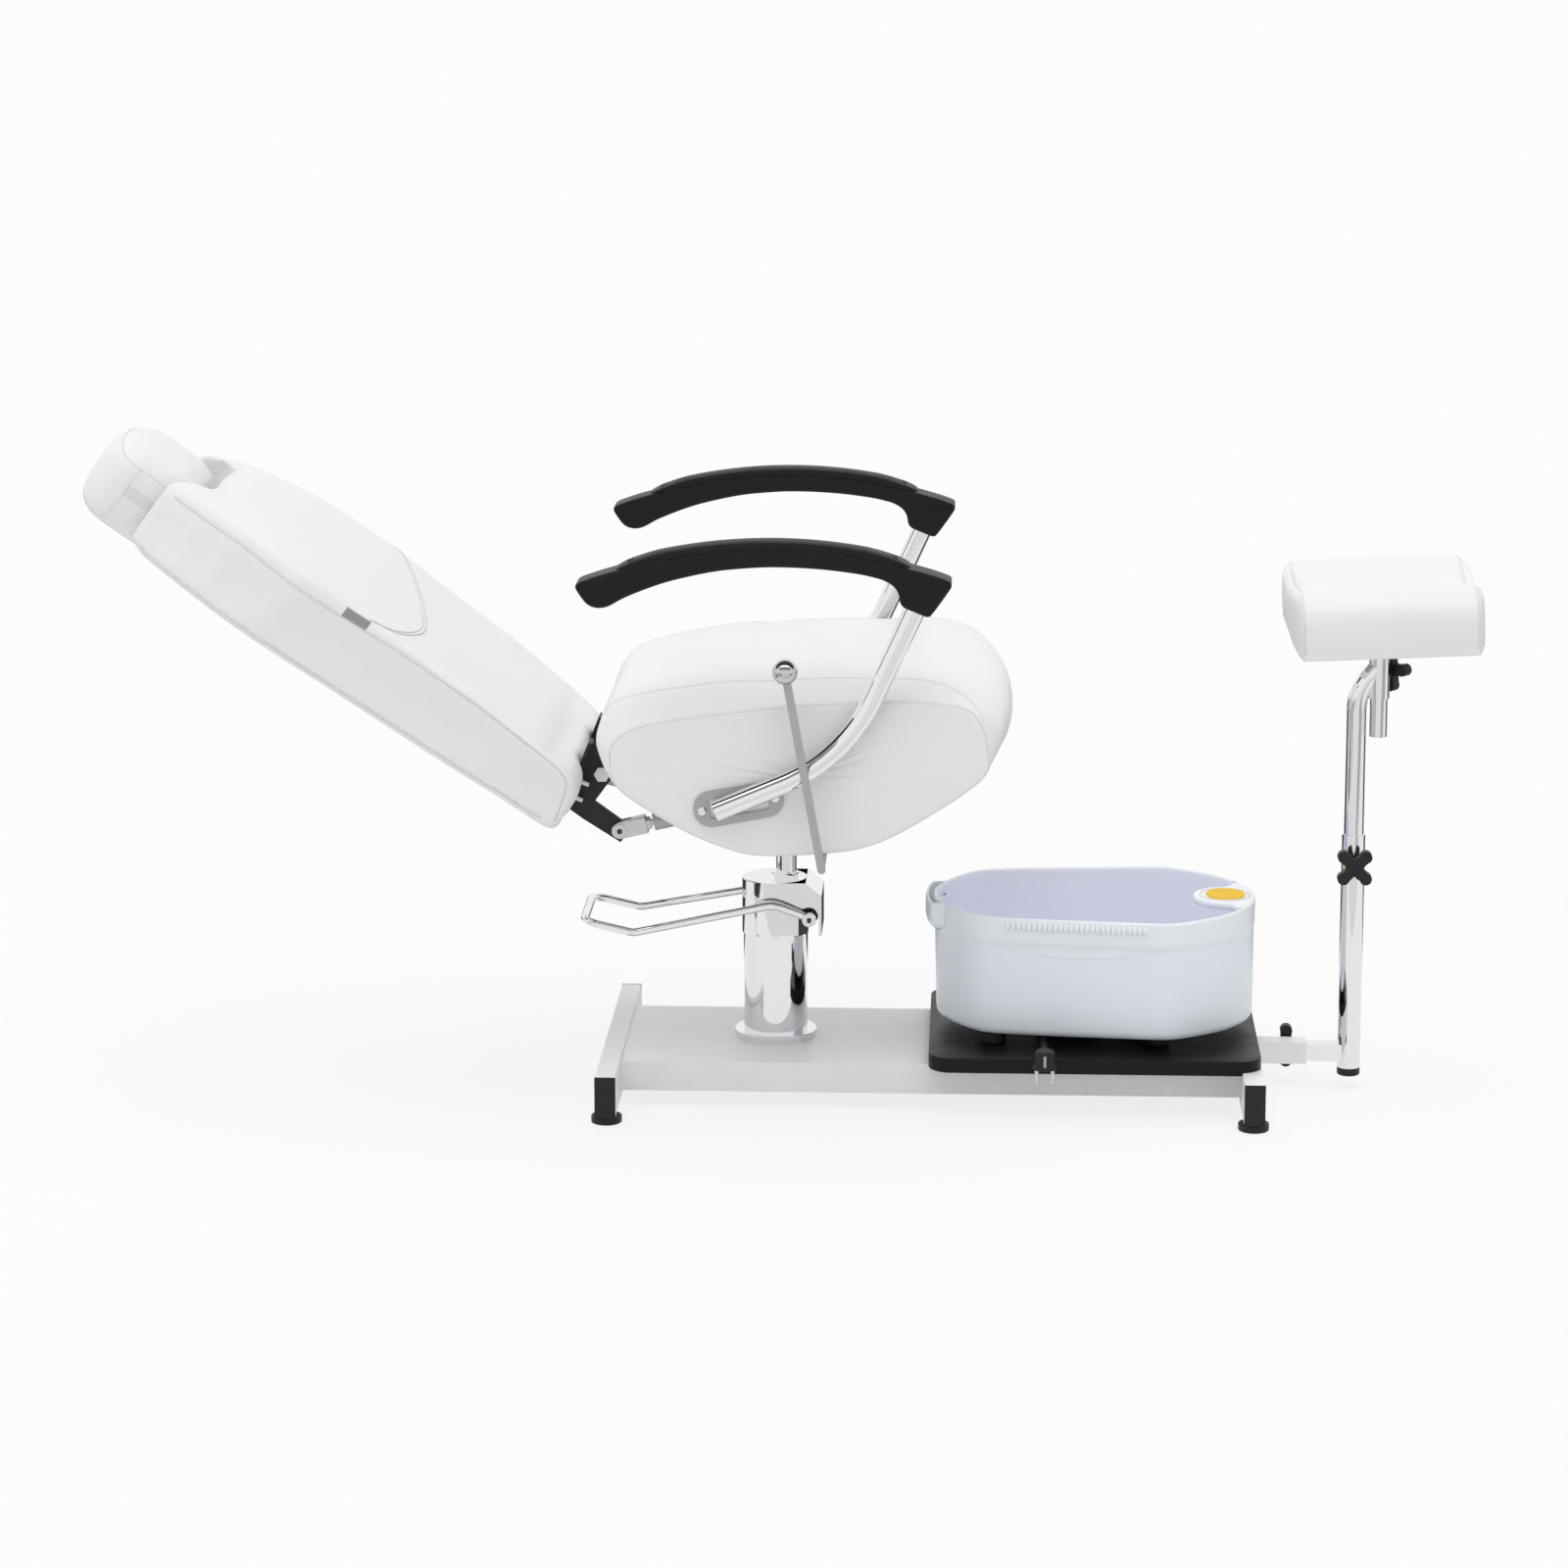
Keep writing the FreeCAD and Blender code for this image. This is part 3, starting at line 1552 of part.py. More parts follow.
def sloped(shape):
    """Moves a piece of the gas spring from the X axis to its place."""
    shape.rotate(V(0, 0, 0), Y_AXIS, -gas_slope)
    shape.translate(crank_pin_point() + V(0, -bracket_y, 0))
    return shape


def gas_cylinder():
    tube = rod(V(gas_mouth, 0, 0), V(gas_length - gas_eye_radius + 2, 0, 0), gas_radius)
    tube = tube.cut(
        rod(V(gas_mouth + gas_guide_length, 0, 0), V(gas_length - gas_rod_end_gap + 6, 0, 0), gas_bore_radius),
    )
    tube = tube.cut(
        rod(V(gas_mouth - 1, 0, 0), V(gas_length - gas_rod_end_gap, 0, 0), gas_rod_radius + running_gap)
    )
    eye = crosswise(gas_length, 0, -gas_eye_width / 2, gas_eye_width / 2, gas_eye_radius)
    tube = tube.fuse(eye)
    tube = tube.cut(
        crosswise(gas_length, 0, -gas_radius - 1, gas_radius + 1, gas_pin_radius + running_gap)
    )
    side = box(gas_length - 13, gas_length + 12, gas_eye_width / 2, gas_radius + 1, -12, 12)
    other = box(gas_length - 13, gas_length + 12, -gas_radius - 1, -gas_eye_width / 2, -12, 12)
    return sloped(tube.cut(side).cut(other))


def gas_rod():
    """The gas spring's rod with the fork and lock nut on its end."""
    half = fork_width / 2
    fork = box(0, fork_length, -half, half, -half, half)
    fork = fork.fuse(crosswise(0, 0, -half, half, fork_eye_radius))
    fork = filleted(fork, 3, lambda e: abs(e.tangentAt(e.FirstParameter).x) > 0.9 and e.Length > 20)
    fork = fork.cut(box(-fork_width, fork_slot_depth, -fork_slot / 2, fork_slot / 2, -fork_width, fork_width))
    fork = fork.cut(crosswise(0, 0, -half - 1, half + 1, crank_pin_radius))
    nut = hex_bar(V(fork_length, 0, 0), X_AXIS, lock_nut_flats, lock_nut_height)
    bar = rod(V(fork_length + lock_nut_height, 0, 0), V(gas_length - gas_rod_end_gap, 0, 0), gas_rod_radius)
    end = gas_length - gas_rod_end_gap
    piston = rod(V(end - gas_piston_length, 0, 0), V(end, 0, 0), gas_bore_radius - running_gap)
    return Part.makeCompound([sloped(fork), sloped(nut), sloped(bar.fuse(piston))])


# Headrest


def headrest_cushion():
    """The headrest pillow, narrow enough for the notch in the backrest."""
    half = head_half_width
    wide = half + head_flare
    tip = head_outer_half_width
    plan = [
        (-head_inner, half),
        (-head_shoulder, wide),
        (-head_outer, tip),
        (-head_outer, -tip),
        (-head_shoulder, -wide),
        (-head_inner, -half),
    ]
    bends = [head_corner_round, head_outer_round, head_outer_round]
    bottom = head_top - head_thickness
    pillow = floor_plate(plan, bends + bends[::-1], bottom, head_top)
    pillow = filleted(pillow, head_round, lambda e: True)
    for side in (-1, 1):
        y = side * head_post_spacing / 2
        pillow = pillow.cut(
            rod(
                V(-head_inner + 20, y, head_post_z()),
                V(-head_inner - head_post_grip, y, head_post_z()),
                head_post_radius,
            )
        )
    return pillow


def headrest_posts():
    """Two rods fixed in the pillow that slide in the backrest."""
    def post(side):
        y = side * head_post_spacing / 2
        start = V(-head_inner - head_post_grip, y, head_post_z())
        finish = V(head_post_end_x(), y, head_post_z())
        return rod(start, finish, head_post_radius)

    return both_sides(post)


# Leg rest


def knob(point, direction, turn, stud):
    """A four-lobed clamp knob on its threaded stud; point is the outer face that the stud leaves."""
    lobes = upright(0, 0, knob_boss_length, knob_boss_length + knob_thickness, knob_waist_radius)
    for i in range(4):
        angle = math.radians(90 * i + turn)
        x = knob_reach * math.cos(angle)
        y = knob_reach * math.sin(angle)
        lobe = upright(x, y, knob_boss_length, knob_boss_length + knob_thickness, knob_lobe_radius)
        arm = rod_box(x, y, knob_boss_length, knob_boss_length + knob_thickness)
        lobes = lobes.fuse([lobe, arm])
    lobes = lobes.removeSplitter()
    boss = upright(0, 0, 0, knob_boss_length, knob_boss_radius)
    pin = upright(0, 0, -stud, 0, knob_stud_radius)
    shape = lobes.fuse([boss, pin])
    shape.Placement = FreeCAD.Placement(point, FreeCAD.Rotation(Z_AXIS, direction))
    return shape


def rod_box(x, y, z0, z1):
    """The web between a knob's middle and one of its lobes."""
    length = math.hypot(x, y)
    web = box(0, length, -knob_lobe_radius * 0.9, knob_lobe_radius * 0.9, z0, z1)
    web.rotate(V(0, 0, 0), Z_AXIS, math.degrees(math.atan2(y, x)))
    return web


def leg_sleeve():
    sleeve = square_tube(sleeve_x, sleeve_x + sleeve_length, leg_slide_height, sleeve_size, sleeve_wall)
    return sleeve.cut(crosswise(slide_knob_x, leg_slide_height, 0, sleeve_size, knob_stud_radius + clear_gap))


def slide_tube():
    tube = square_tube(slide_tube_tail_x, pole_x, leg_slide_height, slide_tube_size, slide_tube_wall)
    return tube.cut(upright(pole_x, 0, 0, leg_slide_height + slide_tube_size, pole_radius))


def lower_pole():
    return pipe_between(V(pole_x, 0, pole_bottom), V(pole_x, 0, pole_top), pole_radius, pole_wall).cut(
        crosswise(pole_x, height_knob_z, -pole_radius - 1, 0, knob_stud_radius + clear_gap)
    )


def pole_cap():
    cap = upright(pole_x, 0, pole_bottom - pole_cap_thickness, pole_bottom, pole_radius)
    cap = filleted(cap, 2.5, lambda e: e.CenterOfMass.z < pole_bottom - 5)
    return cap.fuse(upright(pole_x, 0, pole_bottom, pole_bottom + pole_cap_plug, pole_radius - pole_wall))


def leg_post():
    """The upper tube with its bend, and the socket for the cushion's stem."""
    points = [V(pole_x, 0, post_bottom), V(pole_x, 0, post_bend_z), V(socket_x, 0, socket_meet_z)]
    radii = [0, post_bend_radius, 0]
    outer = bent_bar(points, radii, post_radius)
    inner = bent_bar(points, radii, post_radius - post_wall)
    socket = upright(socket_x, 0, socket_bottom, socket_top, socket_radius)
    post = outer.cut(inner).cut(
        upright(socket_x, 0, socket_bottom - 20, socket_top + 20, socket_radius - 0.5)
    )
    post = post.fuse(
        socket.cut(upright(socket_x, 0, socket_bottom - 1, socket_top + 1, stem_radius + running_gap))
    )
    heading = knob_heading()
    start = V(socket_x, 0, cushion_knob_z)
    return post.cut(rod(start, start + heading * (socket_radius + 2), knob_stud_radius + clear_gap))


def knob_heading():
    angle = math.radians(cushion_knob_heading)
    return V(math.cos(angle), math.sin(angle), 0)


def stem_top():
    return leg_cushion_bottom - leg_plate_thickness - loose_gap


def cushion_stem():
    """The round stem that slides in the post's socket."""
    return upright(socket_x, 0, stem_bottom, stem_top() - leg_plate_thickness, stem_radius)


def cushion_plate():
    """The plate that is screwed to the leg cushion, with the collar that turns on the stem."""
    plate = box(
        leg_cushion_center_x - leg_plate_length / 2,
        leg_cushion_center_x + leg_plate_length / 2,
        -leg_plate_width / 2,
        leg_plate_width / 2,
        leg_cushion_bottom - leg_plate_thickness - clear_gap,
        leg_cushion_bottom - clear_gap,
    )
    plate.rotate(leg_cushion_pivot(), Y_AXIS, -leg_cushion_tilt)
    collar = upright(socket_x, 0, stem_top() - leg_collar_height, stem_top() + loose_gap, leg_collar_radius)
    bore = upright(
        socket_x,
        0,
        stem_top() - leg_collar_height - 1,
        stem_top() - leg_plate_thickness + running_gap,
        stem_radius + running_gap,
    )
    return plate.fuse(collar).cut(bore)


def leg_cushion_pivot():
    return V(leg_cushion_center_x, 0, leg_cushion_bottom)


def leg_cushion():
    """The leg cushion: two lobes with a valley between them, along X."""
    half = leg_cushion_half_width
    bottom = leg_cushion_bottom
    top = bottom + leg_cushion_height

    def section(x, inset):
        points = [
            (-half + inset, bottom + 18),
            (-half + inset, bottom + leg_cushion_height * 0.6),
            (-half + 14 + inset * 0.6, top - 11 - inset * 0.7),
            (-leg_lobe_y, top - inset),
            (-leg_lobe_y * 0.45, top - leg_valley_drop * 0.62 - inset),
            (0, top - leg_valley_drop - inset),
            (leg_lobe_y * 0.45, top - leg_valley_drop * 0.62 - inset),
            (leg_lobe_y, top - inset),
            (half - 14 - inset * 0.6, top - 11 - inset * 0.7),
            (half - inset, bottom + leg_cushion_height * 0.6),
            (half - inset, bottom + 18),
            (half - 8 - inset, bottom + 2 + inset * 0.3),
            (half * 0.6, bottom - 2),
            (half * 0.2, bottom - 2),
            (-half * 0.2, bottom - 2),
            (-half * 0.6, bottom - 2),
            (-half + 8 + inset, bottom + 2 + inset * 0.3),
        ]
        return smooth_wire([V(x, y, z) for y, z in points])

    middle = leg_cushion_center_x
    reach = leg_cushion_length / 2
    sections = soft_sections(lambda place, inset: section(middle + place * reach, inset), leg_end_inset)
    cushion = Part.makeLoft(sections, True, False)
    cushion.rotate(leg_cushion_pivot(), Y_AXIS, -leg_cushion_tilt)
    base = box(
        middle - 2 * reach, middle + 2 * reach, -2 * half, 2 * half, bottom - leg_cushion_height, bottom
    )
    base.rotate(leg_cushion_pivot(), Y_AXIS, -leg_cushion_tilt)
    return cushion.cut(base)


# Foot bath


def bath_half_outline(draft):
    """Corners of one side of the bath's plan, drawn in by draft at the sides."""
    return [
        (bath_rear_x + draft * 0.2, bath_rear_half_width - draft),
        (bath_heel_x + draft * 0.2, bath_heel_half_width - draft),
        (bath_toe_x, bath_toe_half_width - draft),
        (bath_front_x, bath_front_half_width - draft * 0.9),
    ]


def bath_wire(draft, z, inset=0.0):
    """The bath's plan at height z, drawn in all round by inset."""
    near = []
    for x, y in bath_half_outline(draft):
        toward = inset if x < (bath_heel_x + bath_toe_x) / 2 else -inset
        near.append((x + toward * 0.9, y - inset))
    points = [V(x, -y, z) for x, y in near] + [V(x, y, z) for x, y in reversed(near)]
    radius = bath_corner_radius - inset
    radii = [radius * 0.6, radius, radius, radius * 0.85]
    return Part.Wire(rounded_edges(points, radii + radii[::-1]))


def bath_tub():
    """The moulded tub with its rim, rear lip and front peninsula."""
    outer = Part.makeLoft([bath_wire(bath_draft, bath_bottom), bath_wire(0, bath_top)], True, True)
    inner = Part.makeLoft(
        [
            bath_wire(bath_draft, bath_bottom + bath_floor, bath_wall),
            bath_wire(-0.3, bath_top + 1, bath_wall),
        ],
        True,
        True,
    )
    tub = outer.cut(inner)
    lip_face = [
        (bath_rear_x + 8, -bath_lip_half_width),
        (bath_rear_x - bath_lip_reach * 0.7, -bath_lip_half_width + 6),
        (bath_rear_x - bath_lip_reach, -bath_lip_half_width + 20),
        (bath_rear_x - bath_lip_reach, bath_lip_half_width - 20),
        (bath_rear_x - bath_lip_reach * 0.7, bath_lip_half_width - 6),
        (bath_rear_x + 8, bath_lip_half_width),
    ]
    lip = floor_plate(
        lip_face, [0, bath_lip_round, 12, 12, bath_lip_round, 0], bath_top - bath_lip_depth, bath_top
    )
    hollow_points = [(x + bath_wall, y * 0.94) for x, y in lip_face]
    hollow = floor_plate(
        hollow_points, [0, 5, 10, 10, 5, 0], bath_top - bath_lip_depth + bath_wall, bath_top + 1
    )
    tub = tub.fuse(lip.cut(outer))
    tub = tub.cut(hollow.cut(outer))
    tip = peninsula_tip_x + peninsula_tip_radius
    land = [
        (tip - peninsula_tip_radius, 0),
        (tip - peninsula_tip_radius * 0.7, -peninsula_tip_radius * 0.75),
        (tip + 6, -peninsula_tip_radius * 1.35),
        (tip + 24, -peninsula_tip_radius * 2.6),
        (tip + 36, -peninsula_tip_radius * 4.4),
        (bath_front_x + 5, -peninsula_tip_radius * 4.4),
        (bath_front_x + 5, peninsula_tip_radius * 4.4),
        (tip + 36, peninsula_tip_radius * 4.4),
        (tip + 24, peninsula_tip_radius * 2.6),
        (tip + 6, peninsula_tip_radius * 1.35),
        (tip - peninsula_tip_radius * 0.7, peninsula_tip_radius * 0.75),
    ]
    radii = [6, 4, 12, 10, 2, 0, 0, 2, 10, 12, 4]
    deck = floor_plate(land, radii, bath_top - peninsula_depth, bath_top).common(outer)
    tub = tub.fuse(deck)
    tub = tub.cut(inlay_blank())
    for x, y in bath_foot_places():
        tub = tub.cut(upright(x, y, bath_bottom - 1, bath_bottom + 0.01, 4))
    return tub.removeSplitter()


def inlay_blank():
    """The oval control pad let into the peninsula's top."""
    disc = upright(0, 0, bath_top - inlay_depth, bath_top + inlay_rise, inlay_width / 2)
    scale = FreeCAD.Matrix()
    scale.scale(inlay_length / inlay_width, 1, 1)
    oval = disc.transformGeometry(scale)
    oval.translate(V(inlay_x, 0, 0))
    return oval


def bath_foot_places():
    return [(x, side * bath_foot_y) for x in (bath_foot_rear_x, bath_foot_front_x) for side in (-1, 1)]


def bath_feet():
    feet = []
    for x, y in bath_foot_places():
        foot = upright(x, y, tray_top, bath_bottom, bath_foot_radius)
        feet.append(filleted(foot, 3, lambda e: e.CenterOfMass.z < tray_top + 1))
    return Part.makeCompound(feet)


# Mains lead: it leaves a gland below the bath, is wound up there and ends in the plug


def lead_routes():
    """The two uncoiled stretches of the lead, as points along its middle."""
    tail_start = V(cord_coil_x - cord_coil_radius, cord_coil_y, cord_z)
    tail = [
        tail_start,
        V(plug_x + 2.5, -32, cord_z),
        V(plug_x, -66, cord_z),
        V(plug_x, plug_arm_end_y, cord_z),
    ]
    top = cord_coil_y + cord_coil_radius
    head = [
        V(cord_gland_x, top + 4, cord_z),
        V(cord_gland_x - 28, top + 4, cord_z),
        V(cord_coil_x, top, cord_z),
    ]
    return head, tail


def lead_tube(points, radius=cord_radius):
    """A tube with an arc at each point as large as the two runs beside it allow."""
    radii = [0.0]
    for before, point, after in zip(points, points[1:], points[2:]):
        a = point - before
        b = after - point
        half_turn = a.getAngle(b) / 2
        radii.append(cord_bend_share * min(a.Length, b.Length) / math.tan(half_turn))
    radii.append(0.0)
    print("lead radii", [round(r, 1) for r in radii[1:-1]])
    tube = bent_bar(points, radii, radius)
    path = Part.Wire(rounded_edges(points, radii, closed=False))
    expected = math.pi * radius**2 * path.Length
    print("lead volume ratio", round(tube.Volume / expected, 4))
    return tube


def cord_tube():
    head, tail = lead_routes()
    return Part.makeCompound([lead_tube(head), lead_tube(tail)])


def cord_coil():
    """The outer shape of the wound-up length, open where the two stretches meet it."""
    outer = cord_coil_radius + cord_coil_width / 2
    inner = cord_coil_radius - cord_coil_width / 2
    z0 = tray_top + clear_gap
    ring = upright(cord_coil_x, cord_coil_y, z0, z0 + cord_coil_height, outer)
    ring = ring.cut(upright(cord_coil_x, cord_coil_y, z0 - 1, z0 + cord_coil_height + 1, inner))
    ring = filleted(ring, 2.5, lambda e: e.Length > 100)
    head, tail = lead_routes()
    groove = cord_radius + clear_gap
    return ring.cut(lead_tube(head, groove)).cut(lead_tube(tail, groove))


def cord_gland():
    """The strain relief on the bath's underside."""
    y = cord_coil_y + cord_coil_radius + 4
    sleeve = rod(
        V(cord_gland_x, y, cord_z), V(cord_gland_x + cord_gland_length, y, cord_z), cord_gland_radius
    )
    block = box(
        cord_gland_x + 6,
        cord_gland_x + cord_gland_length + 6,
        y - cord_gland_radius,
        y + cord_gland_radius,
        cord_z - cord_gland_radius,
        bath_bottom,
    )
    return sleeve.fuse(block)


def plug_body():
    """The angled plug: its body hangs in front of the tray and its arm lies on it."""
    x = plug_x
    half = plug_width / 2
    y0 = plug_y - plug_depth / 2
    y1 = -tray_width / 2 - clear_gap
    z0 = plug_bottom
    body = box(x - half, x + half, y0, y1, z0, z0 + plug_height)
    body = filleted(body, plug_round, lambda e: abs(e.tangentAt(e.FirstParameter).z) > 0.9)
    z1 = tray_top + clear_gap
    arm_half = plug_arm_width / 2
    bridge = box(x - arm_half, x + arm_half, y1 - 8, plug_arm_end_y, z1, z1 + plug_arm_height)
    bridge = filleted(
        bridge, 3, lambda e: abs(e.tangentAt(e.FirstParameter).y) > 0.9 and e.CenterOfMass.z > z1 + 2
    )
    body = body.fuse(bridge)
    return body


def plug_pins():
    pins = []
    for side in (-1, 1):
        x = plug_x + side * plug_pin_spacing / 2
        pin = upright(x, plug_y, plug_bottom - plug_pin_length, plug_bottom, plug_pin_radius)
        pins.append(filleted(pin, 1.2, lambda e: e.CenterOfMass.z < plug_bottom - plug_pin_length + 0.5))
    return Part.makeCompound(pins)


def build():
    os.makedirs("parts", exist_ok=True)

    save(base_beam(), "base_beam")
    save(crossbar(rear_crossbar_x, False), "rear_crossbar")
    save(crossbar(front_crossbar_x, True), "front_crossbar")
    caps = [end_cap(x, side) for x in (rear_crossbar_x, front_crossbar_x) for side in (-1, 1)]
    save(Part.makeCompound(caps), "crossbar_end_caps")
    feet = [levelling_foot(x, side) for x in (rear_crossbar_x, front_crossbar_x) for side in (-1, 1)]
    save(Part.makeCompound(feet), "levelling_feet")
    save(bath_tray(), "bath_tray")
    screws = [
        bolt_from_below(
            x,
            y,
            beam_top - beam_sheet,
            beam_sheet + tray_thickness * 0.6,
            tray_screw_radius,
            tray_screw_head_radius,
            tray_screw_head_height,
        )
        for x, y in tray_screw_places()
    ]

    save(pump_flange(), "pump_flange")
    bolts = [
        bolt_from_below(
            x,
            y,
            beam_top - beam_sheet,
            beam_sheet + flange_height * 0.6,
            flange_bolt_radius,
            flange_bolt_head_radius,
            flange_bolt_head_height,
        )
        for x, y in flange_bolt_places()
    ]
    save(Part.makeCompound(screws + bolts), "base_bolts")
    save(
        pipe_between(V(0, 0, flange_top), V(0, 0, pump_head_bottom), pump_radius, pump_wall), "pump_cylinder"
    )
    save(pump_head(), "pump_head")
    save(pump_shield(), "pump_shield")
    save(pump_block(), "pump_block")
    save(pressure_tube(), "pressure_tube")
    save(rod_wiper(), "rod_wiper")
    save(piston_rod(), "piston_rod")
    save(pedal_loop(), "pedal_loop")
    save(pedal_shaft(), "pedal_shaft")
    save(both_sides(pedal_bolt), "pedal_bolts")

    save(seat_frame(), "seat_frame")
    save(seat_board(), "seat_board")
    save(seat_cushion(), "seat_cushion")
    seat_bolts = [
        bolt_from_below(
            x,
            y,
            seat_board_bottom - seat_frame_sheet,
            seat_bolt_length,
            seat_bolt_radius,
            seat_bolt_head_radius,
            seat_bolt_head_height,
        )
        for x, y in seat_bolt_places()
    ]
    save(Part.makeCompound(seat_bolts), "seat_bolts")
    save(both_sides(pivot_bolt), "back_pivot_bolts")
    save(both_sides(arm_plate), "arm_plates")
    for side, name in ((-1, "right"), (1, "left")):
        save(arm_tube(side), "arm_tube_" + name)
        save(arm_pad(side), "arm_pad_" + name)
    arm_screws = [arm_screw(x, z, side) for side in (-1, 1) for x, z in arm_screw_places()]
    save(Part.makeCompound(arm_screws), "arm_screws")
    save(release_lever(), "release_lever")
    save(lever_ball(), "lever_ball")

    save(raised(both_sides(bracket)), "back_brackets")
    save(raised(bracket_fasteners()), "bracket_fasteners")
    save(clevis_pin(), "clevis_pin")
    save(raised(back_board()), "back_board")
    save(raised(back_cushion()), "back_cushion")
    save(raised(back_tag()), "back_tag")
    save(gas_cylinder(), "gas_cylinder")
    save(gas_rod(), "gas_rod")
    save(raised(headrest_cushion()), "headrest_cushion")
    save(raised(headrest_posts()), "headrest_posts")

    save(leg_sleeve(), "leg_sleeve")
    save(slide_tube(), "slide_tube")
    save(lower_pole(), "lower_pole")
    save(pole_cap(), "pole_cap")
    save(leg_post(), "leg_post")
    save(cushion_stem(), "cushion_stem")
    save(cushion_plate(), "cushion_plate")
    save(leg_cushion(), "leg_cushion")
    gap = clear_gap
    sleeve_face = V(slide_knob_x, sleeve_size / 2 + gap, leg_slide_height)
    save(
        knob(sleeve_face, Y_AXIS, slide_knob_turn, sleeve_size / 2 - slide_tube_size / 2), "slide_knob"
    )
    pole_face = V(pole_x, -pole_radius - gap, height_knob_z)
    save(knob(pole_face, Y_AXIS * -1, height_knob_turn, pole_radius - post_radius), "height_knob")
    heading = knob_heading()
    socket_face = V(socket_x, 0, cushion_knob_z) + heading * (socket_radius + gap)
    save(knob(socket_face, heading, cushion_knob_turn, socket_radius - stem_radius), "cushion_knob")

    save(bath_tub(), "bath_tub")
    save(bath_feet(), "bath_feet")
    save(inlay_blank(), "bath_control_pad")
    save(cord_gland(), "cord_gland")
    save(cord_tube(), "cord_tube")
    save(cord_coil(), "cord_coil")
    save(plug_body(), "plug_body")
    save(plug_pins(), "plug_pins")


build()
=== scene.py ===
import json
import math

import bmesh
import bpy
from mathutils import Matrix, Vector
from mathutils.bvhtree import BVHTree
from mathutils.geometry import tessellate_polygon


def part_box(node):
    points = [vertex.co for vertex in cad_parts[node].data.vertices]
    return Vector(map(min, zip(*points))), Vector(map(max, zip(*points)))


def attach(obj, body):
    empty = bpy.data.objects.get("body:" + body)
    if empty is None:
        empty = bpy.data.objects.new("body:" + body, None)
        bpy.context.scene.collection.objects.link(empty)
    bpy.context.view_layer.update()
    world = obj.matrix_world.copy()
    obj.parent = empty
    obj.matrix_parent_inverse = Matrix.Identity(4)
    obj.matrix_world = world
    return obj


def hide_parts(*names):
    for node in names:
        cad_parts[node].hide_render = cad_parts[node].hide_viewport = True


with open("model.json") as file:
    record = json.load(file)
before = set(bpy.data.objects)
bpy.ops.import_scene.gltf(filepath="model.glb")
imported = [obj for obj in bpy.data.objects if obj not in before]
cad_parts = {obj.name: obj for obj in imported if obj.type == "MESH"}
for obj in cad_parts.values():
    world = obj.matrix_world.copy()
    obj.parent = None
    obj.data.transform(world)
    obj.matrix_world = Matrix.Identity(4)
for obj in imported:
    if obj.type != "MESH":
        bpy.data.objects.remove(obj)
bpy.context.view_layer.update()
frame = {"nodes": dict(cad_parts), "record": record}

# Lengths are in millimetres, as in the CAD source, and add_mesh turns them into metres.
MM = 0.001
RECLINE = math.radians(36)  # the back's lean in the photograph
PIVOT = (-207.0, 399.0)  # the back's hinge, x and z
SIDES = ((-1, "right"), (1, "left"))

# ---------------------------------------------------------------- camera, light and floor

LENS = 105.94
CAMERA_PLACE = (0.2486, -5.5, 1.61)
CAMERA_PITCH = 10.713
CAMERA_TURN = 2.484
FRAME_SHIFT = -0.1
SUN_ENERGY = 1.56
SUN_SPREAD = 70
SUN_LEAN = (7, -3)
WORLD_LEVEL = 0.58
FLOOR_REACH = 60.0
FLOOR_GREY = 0.82
FLOOR_WHITENESS = 0.8


def put(thing):
    bpy.context.scene.collection.objects.link(thing)


def make_camera():
    data = bpy.data.cameras.new("camera")
    data.lens = LENS
    data.sensor_width = 36
    data.shift_y = FRAME_SHIFT
    data.clip_end = 200
    camera = bpy.data.objects.new("camera", data)
    camera.location = CAMERA_PLACE
    camera.rotation_euler = (math.radians(90 - CAMERA_PITCH), 0, math.radians(CAMERA_TURN))
    put(camera)
    bpy.context.scene.camera = camera


def make_lights():
    sun = bpy.data.lights.new("overhead", "SUN")
    sun.energy = SUN_ENERGY
    sun.angle = math.radians(SUN_SPREAD)
    lamp = bpy.data.objects.new("overhead", sun)
    lamp.rotation_euler = (math.radians(SUN_LEAN[0]), math.radians(SUN_LEAN[1]), 0)
    put(lamp)


def add_node(tree, kind, values=(), operation=None):
    """A new shader node, with (socket, value) pairs set on its own sockets."""
    node = tree.nodes.new("ShaderNode" + kind)
    for socket, value in values:
        node.inputs[socket].default_value = value
    if operation:
        node.operation = operation
    return node


def glow_node(tree, kind, level, strength=1.0):
    return add_node(tree, kind, (("Color", (level, level, level, 1)), ("Strength", strength)))


def any_ray(tree, *rays):
    """A socket that is 1 for the named kinds of ray."""
    path = add_node(tree, "LightPath")
    found = path.outputs[rays[0]]
    for ray in rays[1:]:
        either = add_node(tree, "Math", operation="MAXIMUM")
        tree.links.new(found, either.inputs[0])
        tree.links.new(path.outputs[ray], either.inputs[1])
        found = either.outputs[0]
    return found


def mixed(tree, share, first, second, out):
    """Sends a mix of two shaders to the output node."""
    mix = add_node(tree, "MixShader")
    for place, source in enumerate((share, first.outputs[0], second.outputs[0])):
        tree.links.new(source, mix.inputs[place])
    tree.links.new(mix.outputs[0], add_node(tree, out).inputs[0])


def make_world():
    """White to the camera and to reflections, and a plain soft level of light on the object."""
    world = bpy.data.worlds.new("studio")
    bpy.context.scene.world = world
    world.use_nodes = True
    tree = world.node_tree
    tree.nodes.clear()
    seen = any_ray(tree, "Is Camera Ray", "Is Glossy Ray", "Is Transmission Ray")
    light = glow_node(tree, "Background", 1, WORLD_LEVEL)
    mixed(tree, seen, light, glow_node(tree, "Background", 1), "OutputWorld")


